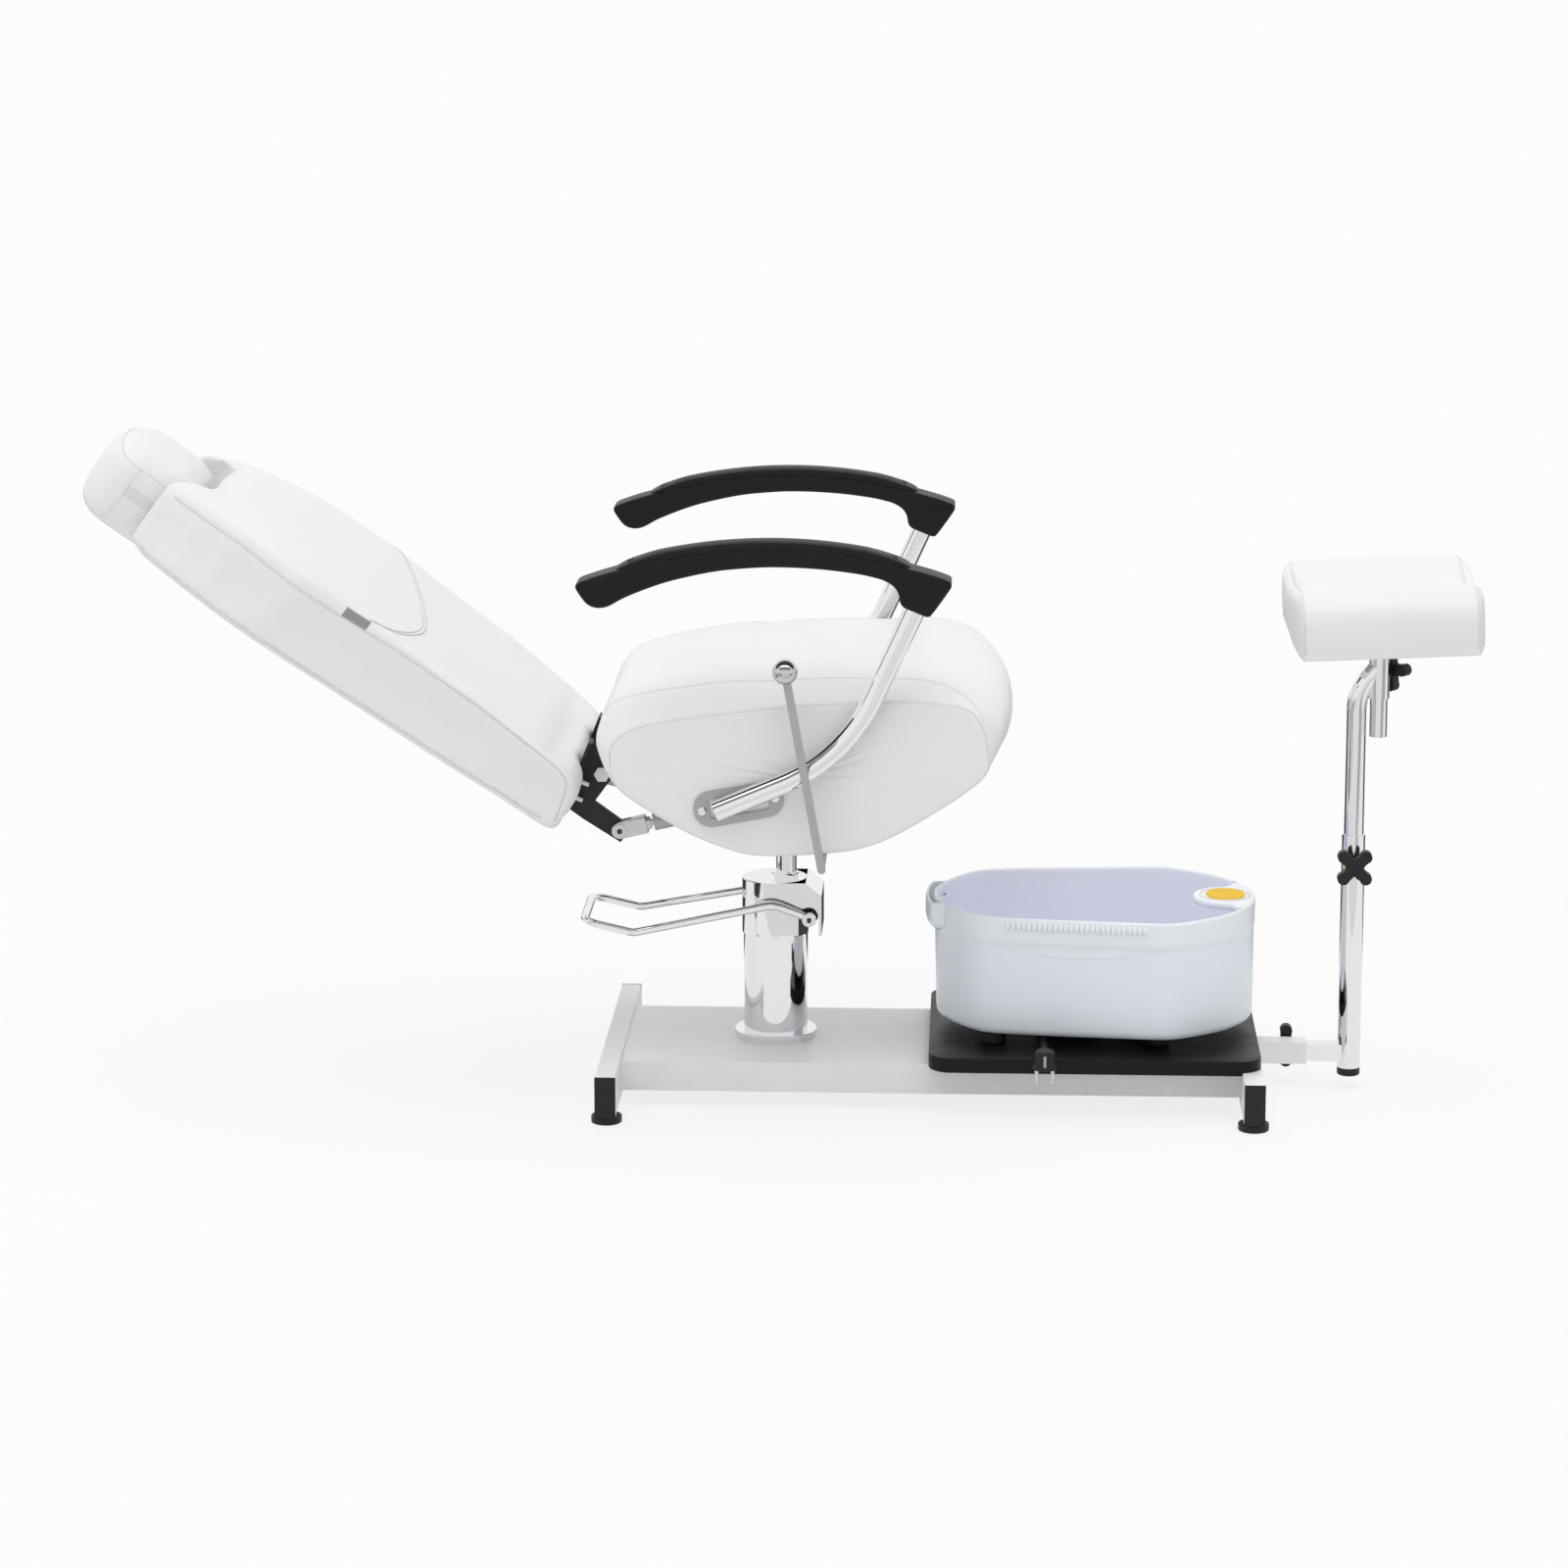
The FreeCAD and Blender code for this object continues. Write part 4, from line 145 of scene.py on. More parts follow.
def stage_sheet(name, corners):
    """A flat sheet of the stage with an empty material, and the material's nodes."""
    mesh = bpy.data.meshes.new(name)
    mesh.from_pydata(corners, [], [(0, 1, 2, 3)])
    sheet = bpy.data.objects.new(name, mesh)
    put(sheet)
    material = bpy.data.materials.new(name)
    material.use_nodes = True
    material.node_tree.nodes.clear()
    mesh.materials.append(material)
    return sheet, material.node_tree


def flat_card(x0, x1, y0, y1, z):
    return [(x0, y0, z), (x1, y0, z), (x1, y1, z), (x0, y1, z)]


def make_floor():
    """A wide pale floor that keeps the object's shadow."""
    _, tree = stage_sheet("floor", flat_card(-FLOOR_REACH, FLOOR_REACH, -FLOOR_REACH, FLOOR_REACH, 0))
    diffuse = add_node(tree, "BsdfDiffuse", (("Color", (FLOOR_GREY, FLOOR_GREY, FLOOR_GREY, 1)),))
    share = add_node(tree, "Math", ((1, FLOOR_WHITENESS),), "MULTIPLY")
    tree.links.new(any_ray(tree, "Is Camera Ray", "Is Glossy Ray"), share.inputs[0])
    mixed(tree, share.outputs[0], diffuse, glow_node(tree, "Emission", 1), "OutputMaterial")


def make_card(name, corners, level):
    """A grey card that only polished metal reflects."""
    card, tree = stage_sheet(name, corners)
    tree.links.new(glow_node(tree, "Emission", level).outputs[0], add_node(tree, "OutputMaterial").inputs[0])
    card.visible_camera = False
    card.visible_diffuse = False
    card.visible_shadow = False
    card.visible_transmission = False


WEDGE = [(-0.5, -1.1, 0.006), (0.95, -1.1, 0.006), (7, -8.9, 0.006), (-3.8, -8.9, 0.006)]

bpy.context.scene.view_settings.view_transform = "Standard"
make_camera()
make_lights()
make_world()
make_floor()
for card, corners, level in (
    ("card_front", flat_card(-7, 7, -9, -1.1, 0.004), 0.46),
    ("card_wedge", WEDGE, 0.86),
    ("card_near", flat_card(-7, 7, -1.1, -0.75, 0.004), 0.8),
    ("card_behind", flat_card(-9, 9, 0.55, 1.25, 0.004), 0.04),
    ("card_far", flat_card(-9, 9, 1.25, 2.2, 0.004), 0.3),
    ("card_left", flat_card(-5, -0.8, -0.7, -0.25, 0.005), 0.05),
    ("card_distance", flat_card(-9, 9, 2.2, 6, 0.004), 0.16),
    ("card_overhead", flat_card(-6, 6, -0.9, 1.8, 3.0), 0.03),
    ("card_above", flat_card(-6, 6, -6.5, -2.4, 4.2), 0.3),
):
    make_card(card, corners, level)


# ---------------------------------------------------------------- materials


FINISHES = {}  # the materials by name, and most names are those of the slots they are for


def surface(
    name, colour, rough, metal=0.0, mottle=(0.03, 12.0), rough_spread=0.05, grain=(0.0, 900.0),
    dent=(0.0, 40.0), sheen=0.0, specular=0.5, subsurface=0.0,
):
    """A material with colour and gloss that vary a little, a fine grain and soft dents.

    mottle, grain and dent are pairs of a strength and a noise scale.
    """
    material = bpy.data.materials.new(name)
    material.use_nodes = True
    tree = material.node_tree
    link = tree.links.new
    shader = tree.nodes["Principled BSDF"]
    shader.inputs["Metallic"].default_value = metal
    shader.inputs["Sheen Weight"].default_value = sheen
    shader.inputs["Specular IOR Level"].default_value = specular
    if subsurface:
        shader.inputs["Subsurface Weight"].default_value = subsurface
        shader.inputs["Subsurface Radius"].default_value = (0.01, 0.01, 0.012)
        shader.inputs["Subsurface Scale"].default_value = 0.5
    place = add_node(tree, "TexCoord").outputs["Object"]
    cloud = add_node(tree, "TexNoise", (("Scale", mottle[1]), ("Detail", 4), ("Roughness", 0.6)))
    link(place, cloud.inputs["Vector"])
    ramp = add_node(tree, "ValToRGB")
    for stop, at, shade in ((0, 0.3, 1 - mottle[0]), (1, 0.7, 1 + mottle[0])):
        ramp.color_ramp.elements[stop].position = at
        ramp.color_ramp.elements[stop].color = (*[max(min(c * shade, 1), 0) for c in colour], 1)
    link(cloud.outputs["Fac"], ramp.inputs["Fac"])
    link(ramp.outputs["Color"], shader.inputs["Base Color"])
    gloss = add_node(tree, "MapRange", (
        ("From Min", 0.3), ("From Max", 0.7),
        ("To Min", max(rough - rough_spread, 0.01)), ("To Max", rough + rough_spread),
    ))
    link(cloud.outputs["Fac"], gloss.inputs["Value"])
    link(gloss.outputs["Result"], shader.inputs["Roughness"])
    last = None
    if dent[0]:
        wave = add_node(tree, "TexNoise", (("Scale", dent[1]), ("Detail", 2)))
        link(place, wave.inputs["Vector"])
        last = add_node(tree, "Bump", (("Distance", dent[0]), ("Strength", 1.0)))
        link(wave.outputs["Fac"], last.inputs["Height"])
    if grain[0]:
        cells = add_node(tree, "TexVoronoi", (("Scale", grain[1]),))
        link(place, cells.inputs["Vector"])
        fine = add_node(tree, "Bump", (("Distance", grain[0]), ("Strength", 0.6)))
        link(cells.outputs["Distance"], fine.inputs["Height"])
        if last:
            link(last.outputs["Normal"], fine.inputs["Normal"])
        last = fine
    if last:
        link(last.outputs["Normal"], shader.inputs["Normal"])
    FINISHES[name] = material
    return material


def bath_plastic(name, colour, rough):
    return surface(name, colour, rough, mottle=(0.004, 3), dent=(0.00008, 9), subsurface=0.15, specular=0.4)


def grey(level):
    return (level, level, level)


LEATHER = surface("white_leather", grey(0.88), 0.42, mottle=(0.012, 9), grain=(0.00012, 1100),
                  dent=(0.0006, 22), sheen=0.05, specular=0.35)
THREAD = surface("white_thread", grey(0.72), 0.7, mottle=(0.03, 300), grain=(0.0001, 2500))
# painted shade: a darker grey for the thin line sunk along each seam, standing in for the shadow in its
# groove
SEAM_SHADE_GREY = surface("seam_shadow", grey(0.7), 0.7, mottle=(0.05, 120), grain=(0.0001, 900))
surface("silver_enamel", grey(0.92), 0.42, metal=0.05, mottle=(0.02, 30), grain=(0.00008, 1400))
surface("chrome", (0.8, 0.8, 0.81), 0.045, metal=1.0, mottle=(0.01, 8), rough_spread=0.02, dent=(0.00002, 60))
surface("satin_steel", (0.6, 0.6, 0.61), 0.3, metal=1.0, mottle=(0.05, 60), grain=(0.00004, 1800))
# also the colour of the dark discs painted as shade in bolt sockets and in the pin's recess
DARK_STEEL_AND_SOCKET_SHADE = surface("dark_steel", (0.05, 0.05, 0.055), 0.4, metal=0.7, mottle=(0.15, 80),
                     grain=(0.0001, 700))
surface("black_enamel", (0.012, 0.012, 0.013), 0.4, specular=0.35, mottle=(0.1, 60), grain=(0.0001, 1200))
GREY_ENAMEL = surface("grey_enamel", grey(0.42), 0.4, metal=0.4, mottle=(0.05, 60), grain=(0.00006, 1500))
BLACK_PLASTIC = surface("black_plastic", grey(0.012), 0.45, specular=0.3, mottle=(0.1, 90),
                        grain=(0.00015, 1000))
BLACK_RUBBER = surface("black_rubber", grey(0.011), 0.6, specular=0.3, mottle=(0.12, 70), grain=(0.0001, 800))
PAD_FOAM = surface("pad_moulding", grey(0.0075), 0.42, specular=0.2, mottle=(0.1, 35), grain=(0.00025, 850),
                   dent=(0.0002, 70))
surface("tray_board", grey(0.007), 0.36, specular=0.16, mottle=(0.12, 50), grain=(0.0002, 650))
surface("plywood", (0.62, 0.48, 0.32), 0.6, mottle=(0.12, 25), grain=(0.0001, 400))
TAG = surface("tag_fabric", grey(0.3), 0.75, mottle=(0.08, 400), grain=(0.0003, 1600))
surface("lever_knob", grey(0.58), 0.12, metal=0.95, mottle=(0.03, 40), rough_spread=0.04)
BATH = bath_plastic("bath_shell", (0.87, 0.935, 1.0), 0.3)
surface("amber_plastic", (0.96, 0.56, 0.001), 0.5, mottle=(0.18, 160), dent=(0.0008, 220), specular=0.25)
# painted shade: a dimmer, bluer copy of the bath plastic for the inside walls and floor, which sit in shade
BATH_INSIDE_PAINTED_SHADE = bath_plastic("bath_inside", (0.875, 0.885, 1.0), 0.35)
# painted light: a paler copy of the bath plastic for the rim band, the beads, the lip and the deck, as if lit
# from above
BATH_RIM_PAINTED_LIGHT = bath_plastic("bath_rim_band", (0.91, 0.955, 1.0), 0.3)
DARK_ZIP = surface("zip_tape", grey(0.3), 0.7, mottle=(0.06, 300))
BLUSH = surface("pad_frame", (0.88, 0.78, 0.74), 0.35, mottle=(0.04, 60), specular=0.35)
CORD = surface("cord_rubber", grey(0.014), 0.5, mottle=(0.1, 90), grain=(0.00008, 1200))

OTHER_SLOTS = {
    "chrome_cover": "chrome", "white_upholstery": "white_leather", "headrest_upholstery": "white_leather",
    "leg_upholstery": "white_leather",
}
for part in frame["record"]["subparts"]:
    holder = frame["nodes"][part["node"]]
    slot = part["material_slot"]
    finish = GREY_ENAMEL if part["node"] == "gas_cylinder" else FINISHES[OTHER_SLOTS.get(slot, slot)]
    if not holder.material_slots:
        holder.data.materials.append(finish)
    for place in holder.material_slots:
        place.material = finish


# ---------------------------------------------------------------- mesh helpers


def scaled(point):
    return (point[0] * MM, point[1] * MM, point[2] * MM)


def in_mm(point):
    return tuple(c / MM for c in point)


def add_mesh(name, points, faces, material, body, smooth=True):
    """A mesh piece from points in millimetres, riding on a body."""
    mesh = bpy.data.meshes.new(name)
    mesh.from_pydata([scaled(p) for p in points], [], faces)
    mesh.materials.append(material)
    piece = bpy.data.objects.new(name, mesh)
    put(piece)
    work = bmesh.new()
    work.from_mesh(mesh)
    bmesh.ops.remove_doubles(work, verts=work.verts, dist=0.00001)
    bmesh.ops.recalc_face_normals(work, faces=work.faces)
    work.to_mesh(mesh)
    work.free()
    if smooth:
        mesh.polygons.foreach_set("use_smooth", [True] * len(mesh.polygons))
    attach(piece, body)
    return piece


def through(points, steps, closed):
    """A smooth line through the points, as a Catmull-Rom spline."""
    out = []
    count = len(points)
    for i in range(count if closed else count - 1):
        if closed:
            a, b, c, d = (points[(i + k - 1) % count] for k in range(4))
        else:
            a, b, c, d = points[max(i - 1, 0)], points[i], points[i + 1], points[min(i + 2, count - 1)]
        for j in range(steps):
            t = j / steps
            out.append(tuple(
                0.5 * (
                    2 * q + (r - p) * t
                    + (2 * p - 5 * q + 4 * r - s) * t * t + (3 * q - p - 3 * r + s) * t * t * t
                )
                for p, q, r, s in zip(a, b, c, d)
            ))
    if not closed:
        out.append(tuple(points[-1]))
    return out


def clamp(value):
    """The value, kept between 0 and 1."""
    return max(0.0, min(1.0, value))


def spread(start, end, count):
    """Evenly spaced values from start to end."""
    return [start + (end - start) * i / (count - 1) for i in range(count)]


def mirror(pairs, item=1):
    """The same pairs in reverse order, with the sign of one item changed."""
    return [(a, -b) if item else (-a, b) for a, b in reversed(pairs)]


def from_table(table, at):
    """A value read, in straight runs, from a list of (place, value) pairs."""
    if at <= table[0][0]:
        return table[0][1]
    for (x0, y0), (x1, y1) in zip(table, table[1:]):
        if at <= x1:
            t = (at - x0) / (x1 - x0)
            return y0 + (y1 - y0) * t
    return table[-1][1]


def shrink(outline, inset):
    """A closed plan outline moved inwards."""
    if not inset:
        return outline
    count = len(outline)
    area = sum(
        outline[i][0] * outline[(i + 1) % count][1] - outline[(i + 1) % count][0] * outline[i][1]
        for i in range(count)
    )
    turn = 1 if area > 0 else -1
    out = []
    for i in range(count):
        along = (Vector(outline[(i + 1) % count]) - Vector(outline[i - 1])).normalized()
        out.append((outline[i][0] - along.y * inset * turn, outline[i][1] + along.x * inset * turn))
    return out


def bands(rows, count, ring=True, loop=False, base=0):
    """Faces between rows of count points; ring closes each row and loop joins the last row to the first."""
    faces = []
    for i in range(rows if loop else rows - 1):
        a = base + i * count
        b = base + (i + 1) % rows * count
        for j in range(count if ring else count - 1):
            k = (j + 1) % count
            faces.append((a + j, a + k, b + k, b + j))
    return faces


def ends(rows, count):
    """The two flat end faces of such rows."""
    return [tuple(range(count)), tuple((rows - 1) * count + j for j in range(count))]


def circle(centre, side, up, size, sides):
    """A round ring of points in the plane of two directions."""
    out = []
    for k in range(sides):
        angle = 2 * math.pi * k / sides
        out.append(tuple(Vector(centre) + (side * math.cos(angle) + up * math.sin(angle)) * size))
    return out


def loft(rings, cap_rings, bulge, way=(0, 1, 0)):
    """Points and faces of closed rings joined in turn, with both ends closed by shrinking rings."""
    count = len(rings[0])

    def shrunk(ring, sign):
        middle = [sum(p[k] for p in ring) / count for k in range(3)]
        out = []
        for step in range(1, cap_rings):
            f = 1 - step / cap_rings
            lift = bulge * (1 - f**5) * sign
            out.append([tuple(m + (c - m) * f + w * lift for m, c, w in zip(middle, p, way)) for p in ring])
        return out, tuple(middle[k] + way[k] * bulge * sign for k in range(3))

    head, head_tip = shrunk(rings[0], -1)
    tail, tail_tip = shrunk(rings[-1], 1)
    stack = list(reversed(head)) + list(rings) + tail
    points = [p for ring in stack for p in ring] + [head_tip, tail_tip]
    faces = bands(len(stack), count)
    tip = len(stack) * count
    faces += [(tip, (j + 1) % count, j) for j in range(count)]
    base = tip - count
    faces += [(base + j, base + (j + 1) % count, tip + 1) for j in range(count)]
    return points, faces


def puff(piece, held, cap, pressure):
    """Lets a padded piece swell as cloth under pressure, held at its seams, each point moving at most cap."""
    mesh = piece.data
    start = [v.co.copy() for v in mesh.vertices]
    group = piece.vertex_groups.new(name="held")
    group.add(held, 1.0, "REPLACE")
    cloth = piece.modifiers.new("cloth", "CLOTH")
    settings = cloth.settings
    settings.quality = 4
    settings.mass = 0.3
    settings.tension_stiffness = 15
    settings.compression_stiffness = 15
    settings.shear_stiffness = 8
    settings.bending_stiffness = 4
    settings.use_pressure = True
    settings.uniform_pressure_force = pressure
    settings.vertex_group_mass = "held"
    settings.effector_weights.gravity = 0
    cloth.collision_settings.use_collision = False
    scene = bpy.context.scene
    for step in range(1, 21):
        scene.frame_set(step)
    after = piece.evaluated_get(bpy.context.evaluated_depsgraph_get())
    moved = [v.co.copy() for v in after.data.vertices]
    piece.modifiers.remove(cloth)
    scene.frame_set(1)
    for vertex, a, b in zip(mesh.vertices, start, moved):
        away = b - a
        if away.length > cap * MM:
            away = away.normalized() * cap * MM
        vertex.co = a + away
    piece.vertex_groups.clear()


def held_where(piece, test):
    """The numbers of the points whose place in millimetres passes a test."""
    return [vertex.index for vertex in piece.data.vertices if test(*in_mm(vertex.co))]


def relax(piece, rounds):
    """Smooths a mesh a little."""
    work = bmesh.new()
    work.from_mesh(piece.data)
    for _ in range(rounds):
        bmesh.ops.smooth_vert(
            work, verts=list(work.verts), factor=0.5, use_axis_x=True, use_axis_y=True, use_axis_z=True
        )
    work.to_mesh(piece.data)
    work.free()


def apply_modifiers(piece):
    graph = bpy.context.evaluated_depsgraph_get()
    made = bpy.data.meshes.new_from_object(piece.evaluated_get(graph))
    made.name = piece.name
    old = piece.data
    piece.modifiers.clear()
    piece.data = made
    bpy.data.meshes.remove(old)
    piece.data.polygons.foreach_set("use_smooth", [True] * len(piece.data.polygons))


def subdivide(piece):
    divider = piece.modifiers.new("divide", "SUBSURF")
    divider.levels = 1
    divider.render_levels = 1
    apply_modifiers(piece)


def stacked(name, rings, material, body):
    """A piece made of closed outlines joined in turn, its two flat ends of any shape."""
    count = len(rings[0])
    faces = bands(len(rings), count)
    for base, ring in ((0, rings[0]), ((len(rings) - 1) * count, rings[-1])):
        for a, b, c in tessellate_polygon([[Vector(p) for p in ring]]):
            faces.append((base + a, base + b, base + c))
    return add_mesh(name, [p for ring in rings for p in ring], faces, material, body)


def box_mesh(x0, x1, y0, y1, z0, z1):
    points = [(x, y, z) for x in (x0, x1) for y in (y0, y1) for z in (z0, z1)]
    faces = [(0, 1, 3, 2), (4, 6, 7, 5), (0, 4, 5, 1), (2, 3, 7, 6), (0, 2, 6, 4), (1, 5, 7, 3)]
    return points, faces


def skin_tree(piece):
    mesh = piece.data
    return BVHTree.FromPolygons([v.co for v in mesh.vertices], [tuple(p.vertices) for p in mesh.polygons])


def onto(tree, point, lift=0.0):
    """The nearest place on a skin to a point, raised by lift, all in millimetres."""
    spot, normal, _, _ = tree.find_nearest(Vector(scaled(point)))
    return in_mm(spot + normal * lift * MM)


def even(points, pitch):
    """Points at an even pitch along a line."""
    out = [points[0]]
    left = pitch
    for a, b in zip(points, points[1:]):
        a = Vector(a)
        b = Vector(b)
        run = (b - a).length
        while run >= left and run > 0:
            a = a + (b - a).normalized() * left
            out.append(tuple(a))
            run = (b - a).length
            left = pitch
        left -= run
    return out


def tube(name, points, radius, material, body, sides=8, closed=False):
    """A round bead along points in millimetres; radius may be a function of the share of the way."""
    verts = []
    count = len(points)
    previous = None
    for i, point in enumerate(points):
        a = Vector(points[(i - 1) % count] if closed or i else points[i])
        b = Vector(points[(i + 1) % count] if closed or i < count - 1 else points[i])
        along = (b - a).normalized()
        if previous is None:
            side = along.orthogonal().normalized()
        else:
            side = (previous - along * previous.dot(along)).normalized()
        previous = side
        size = radius(i / max(count - 1, 1)) if callable(radius) else radius
        verts += circle(point, side, along.cross(side), size, sides)
    faces = bands(count, sides, loop=closed)
    if not closed:
        faces += ends(count, sides)
    return add_mesh(name, verts, faces, material, body)


STITCH_PITCH = 4.0
STITCH_LENGTH = 2.6
STITCH_RADIUS = 0.42
STITCH_ROWS = ((0.0, 0.35), (0.15, 1.0), (0.85, 1.0), (1.0, 0.35))


def stitches(name, points, body):
    """A row of short thread beads along a line."""
    row = even(points, STITCH_PITCH)
    verts = []
    faces = []
    sides = 6
    for a, b in zip(row, row[1:]):
        along = (Vector(b) - Vector(a)).normalized()
        side = along.orthogonal().normalized()
        base = len(verts)
        for reach, size in STITCH_ROWS:
            centre = Vector(a) + along * reach * STITCH_LENGTH
            verts += circle(centre, side, along.cross(side), STITCH_RADIUS * size, sides)
        faces += bands(len(STITCH_ROWS), sides, base=base)
        faces += [tuple(base + v for v in face) for face in ends(len(STITCH_ROWS), sides)]
    return add_mesh(name, verts, faces, THREAD, body)


def sewn(name, skin, line, body, beside=None):
    """A seam on a skin: a sunk darker line, painted shade for the seam's groove, and, beside it, a row of
    stitches.
    """
    tree = skin_tree(skin)
    line = even(line, 6.0)
    # the sunk darker line is painted shade in the seam
    tube(name + "_seam_shade", [onto(tree, p, -0.35) for p in line], 0.7, SEAM_SHADE_GREY, body, sides=6)
    if beside is not None:
        row = [onto(tree, tuple(p[k] + beside[k] for k in range(3)), 0.05) for p in line]
        stitches(name + "_stitch", row, body)


# ---------------------------------------------------------------- seat cushion

SEAT_FULL = [
    (-201, 466), (-196, 502), (-150, 532), (10, 546), (125, 550), (212, 547), (270, 520), (290, 476),
    (264, 440), (178, 385), (122, 357), (66, 347), (-8, 344), (-52, 354), (-104, 377), (-174, 420),
]
SEAT_SIDE = [
    (-182, 450), (-175, 482), (-129, 502.5), (10.6, 522), (125, 530), (200, 529), (243, 516), (258, 474),
    (252, 438), (178, 386), (122, 358), (66, 348), (-8, 345), (-52, 355), (-104, 378), (-168, 419),
]
SEAT_GUSSET = [
    (-203, -116), (-201, -140), (-187, -166), (-140, -181), (-67, -189), (24, -193), (137, -195), (187, -204),
    (226, -220), (246, -240), (254, -252),
]
SEAT_HALF = 260.0
SEAT_TOP_EDGE = 189.0
SEAT_STEPS = 8  # points of the outline to each point of the list
SEAT_UPPER = 8  # points of the list above the widest line
SEAT_BAY = (-260, 130, -92, 92, 320, 445)  # the room for the frame, cut out from below


def seat_ring(y):
    """The seat's outline at y: full in the middle, drawn in over the shoulder, with a bowed front edge."""
    away = abs(y)
    share = max(0.0, (away - SEAT_TOP_EDGE) / (SEAT_HALF - SEAT_TOP_EDGE))
    flat = min(away / SEAT_TOP_EDGE, 1.0) ** 2
    full = through(SEAT_FULL, SEAT_STEPS, True)
    side = through(SEAT_SIDE, SEAT_STEPS, True)
    ring = []
    for (x0, z0), (x1, z1) in zip(full, side):
        # towards the sides the top falls, the front edge bows back and the rear corners drop
        z0 -= 4.0 * flat * clamp((z0 - 480) / 50)
        x0 -= 12.0 * flat * clamp((x0 - 190) / 70)
        corner = 15.0 * min(away / 225.0, 1.15) ** 3 * clamp((-60 - x0) / 100)
        across = share ** (1.5 + 1.3 * clamp((-100 - x0) / 60))
        up = share**1.5
        z = z0 + (z1 - z0) * up
        if z > 455:
            z -= corner * (1 - up) * min((z - 455) / 40, 1.0)
        ring.append((x0 + (x1 - x0) * across, y, z))
    return ring


def seat_gusset(side, t):
    """A point on the crescent seam on top; t runs from the rear to the front."""
    line = through([(x, y, 0) for x, y in SEAT_GUSSET], SEAT_STEPS, False)
    place = t * (len(line) - 1)
    i = min(int(place), len(line) - 2)
    f = place - i
    x = line[i][0] + (line[i + 1][0] - line[i][0]) * f
    y = line[i][1] + (line[i + 1][1] - line[i][1]) * f
    ring = seat_ring(y)
    above = ring[SEAT_STEPS:SEAT_STEPS * SEAT_UPPER]
    near = min(above, key=lambda point: abs(point[0] - x) - 0.002 * point[2])
    return (x, -side * y, near[2])


def make_seat():
    """The seat: a crowned form with drawn-in sides, swollen, and hollowed below for the frame."""
    shoulder = [-260, -256, -250, -242, -232, -220, -207, -196, -189]
    places = shoulder + spread(-189, 189, 27)[1:-1] + [-p for p in reversed(shoulder)]
    points, faces = loft([seat_ring(y) for y in places], cap_rings=7, bulge=2.5)
    seat = add_mesh("seat_upholstery", points, faces, LEATHER, "seat")
    held = held_where(seat, lambda x, y, z: abs(abs(y) - SEAT_HALF) < 0.6 or z < 400)
    puff(seat, held, cap=5.0, pressure=2.5)
    subdivide(seat)
    bay = add_mesh("bay_cutter", *box_mesh(*SEAT_BAY), LEATHER, "seat", smooth=False)
    cutter = seat.modifiers.new("bay", "BOOLEAN")
    cutter.object = bay
    cutter.operation = "DIFFERENCE"
    cutter.solver = "EXACT"
    apply_modifiers(seat)
    bpy.data.objects.remove(bay)
    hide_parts("seat_cushion")
    for side, tag in SIDES:
        ring = seat_ring(side * SEAT_HALF)
        turn = SEAT_STEPS * SEAT_UPPER
        upper = ring[:turn + 1]
        lower = ring[turn:] + ring[:1]
        sewn("seat_seam_" + tag, seat, upper, "seat", beside=(0, side * -3.0, 2.0))
        sewn("seat_seam_low_" + tag, seat, lower, "seat")
        line = [seat_gusset(side, t) for t in spread(0, 1, 91)]
        sewn("seat_gusset_" + tag, seat, line, "seat", beside=(0, side * -3.0, 0.5))


# ---------------------------------------------------------------- backrest


def raised(u, y, v):
    """A point on the back, u along it, v out of its front, as a place on the chair."""
    c = math.cos(RECLINE)
    s = math.sin(RECLINE)
    return (PIVOT[0] - u * c + v * s, y, PIVOT[1] + u * s + v * c)


def lowered(x, y, z):
    """The reverse of raised."""
    c = math.cos(RECLINE)
    s = math.sin(RECLINE)
    dx = x - PIVOT[0]
    dz = z - PIVOT[1]
    return (-dx * c + dz * s, y, dx * s + dz * c)


def back_half(u):
    """Half the back's width."""
    if u > 400:
        return 209 - 95 * ((u - 400) / 229) ** 1.7
    return 209 - 12 * ((400 - u) / 369) ** 3


# heights of the front skin at its side edge and at its middle, and of the rear skin, along the back
BACK_EDGE = [
    (20, -2), (37, 5), (69, 10), (173, 13.6), (275, 12), (376, 4), (515, -1), (596, -12), (640, -16),
]
BACK_CROWN = [
    (20, -6), (40, 3), (92, 14), (202, 22), (291, 31), (368, 37), (484, 34), (550, 25), (602, 9), (640, -6),
]
BACK_REAR = [(10, -57), (20, -60), (41, -67), (263, -78), (408, -85), (526, -94), (597, -100), (640, -93)]
BACK_YOKE = [
    (338, -204), (322, -197), (304, -186), (290, -160), (281, -125), (279, -90), (283, -58), (291, -20),
    (300, 20), (314, 65), (341.5, 140), (372, 206),
]
BACK_LEVELS = ((-40, 6), (-37, 2), (-33, 0), (-20, 0), (0, 0), (20, 0), (33, 0), (37, 2), (40, 6))
BACK_LEVEL_HALF = 40
BACK_START = 31
BACK_ROUND = 80  # the lower end is rounded up to here
BACK_VOXEL = 7.5


def back_front(u, y):
    """Height of the back's front skin."""
    edge = from_table(BACK_EDGE, u)
    crown = from_table(BACK_CROWN, u)
    share = min(abs(y) / back_half(u), 1.0)
    return edge + (crown - edge) * (1 - share**8) ** 0.42


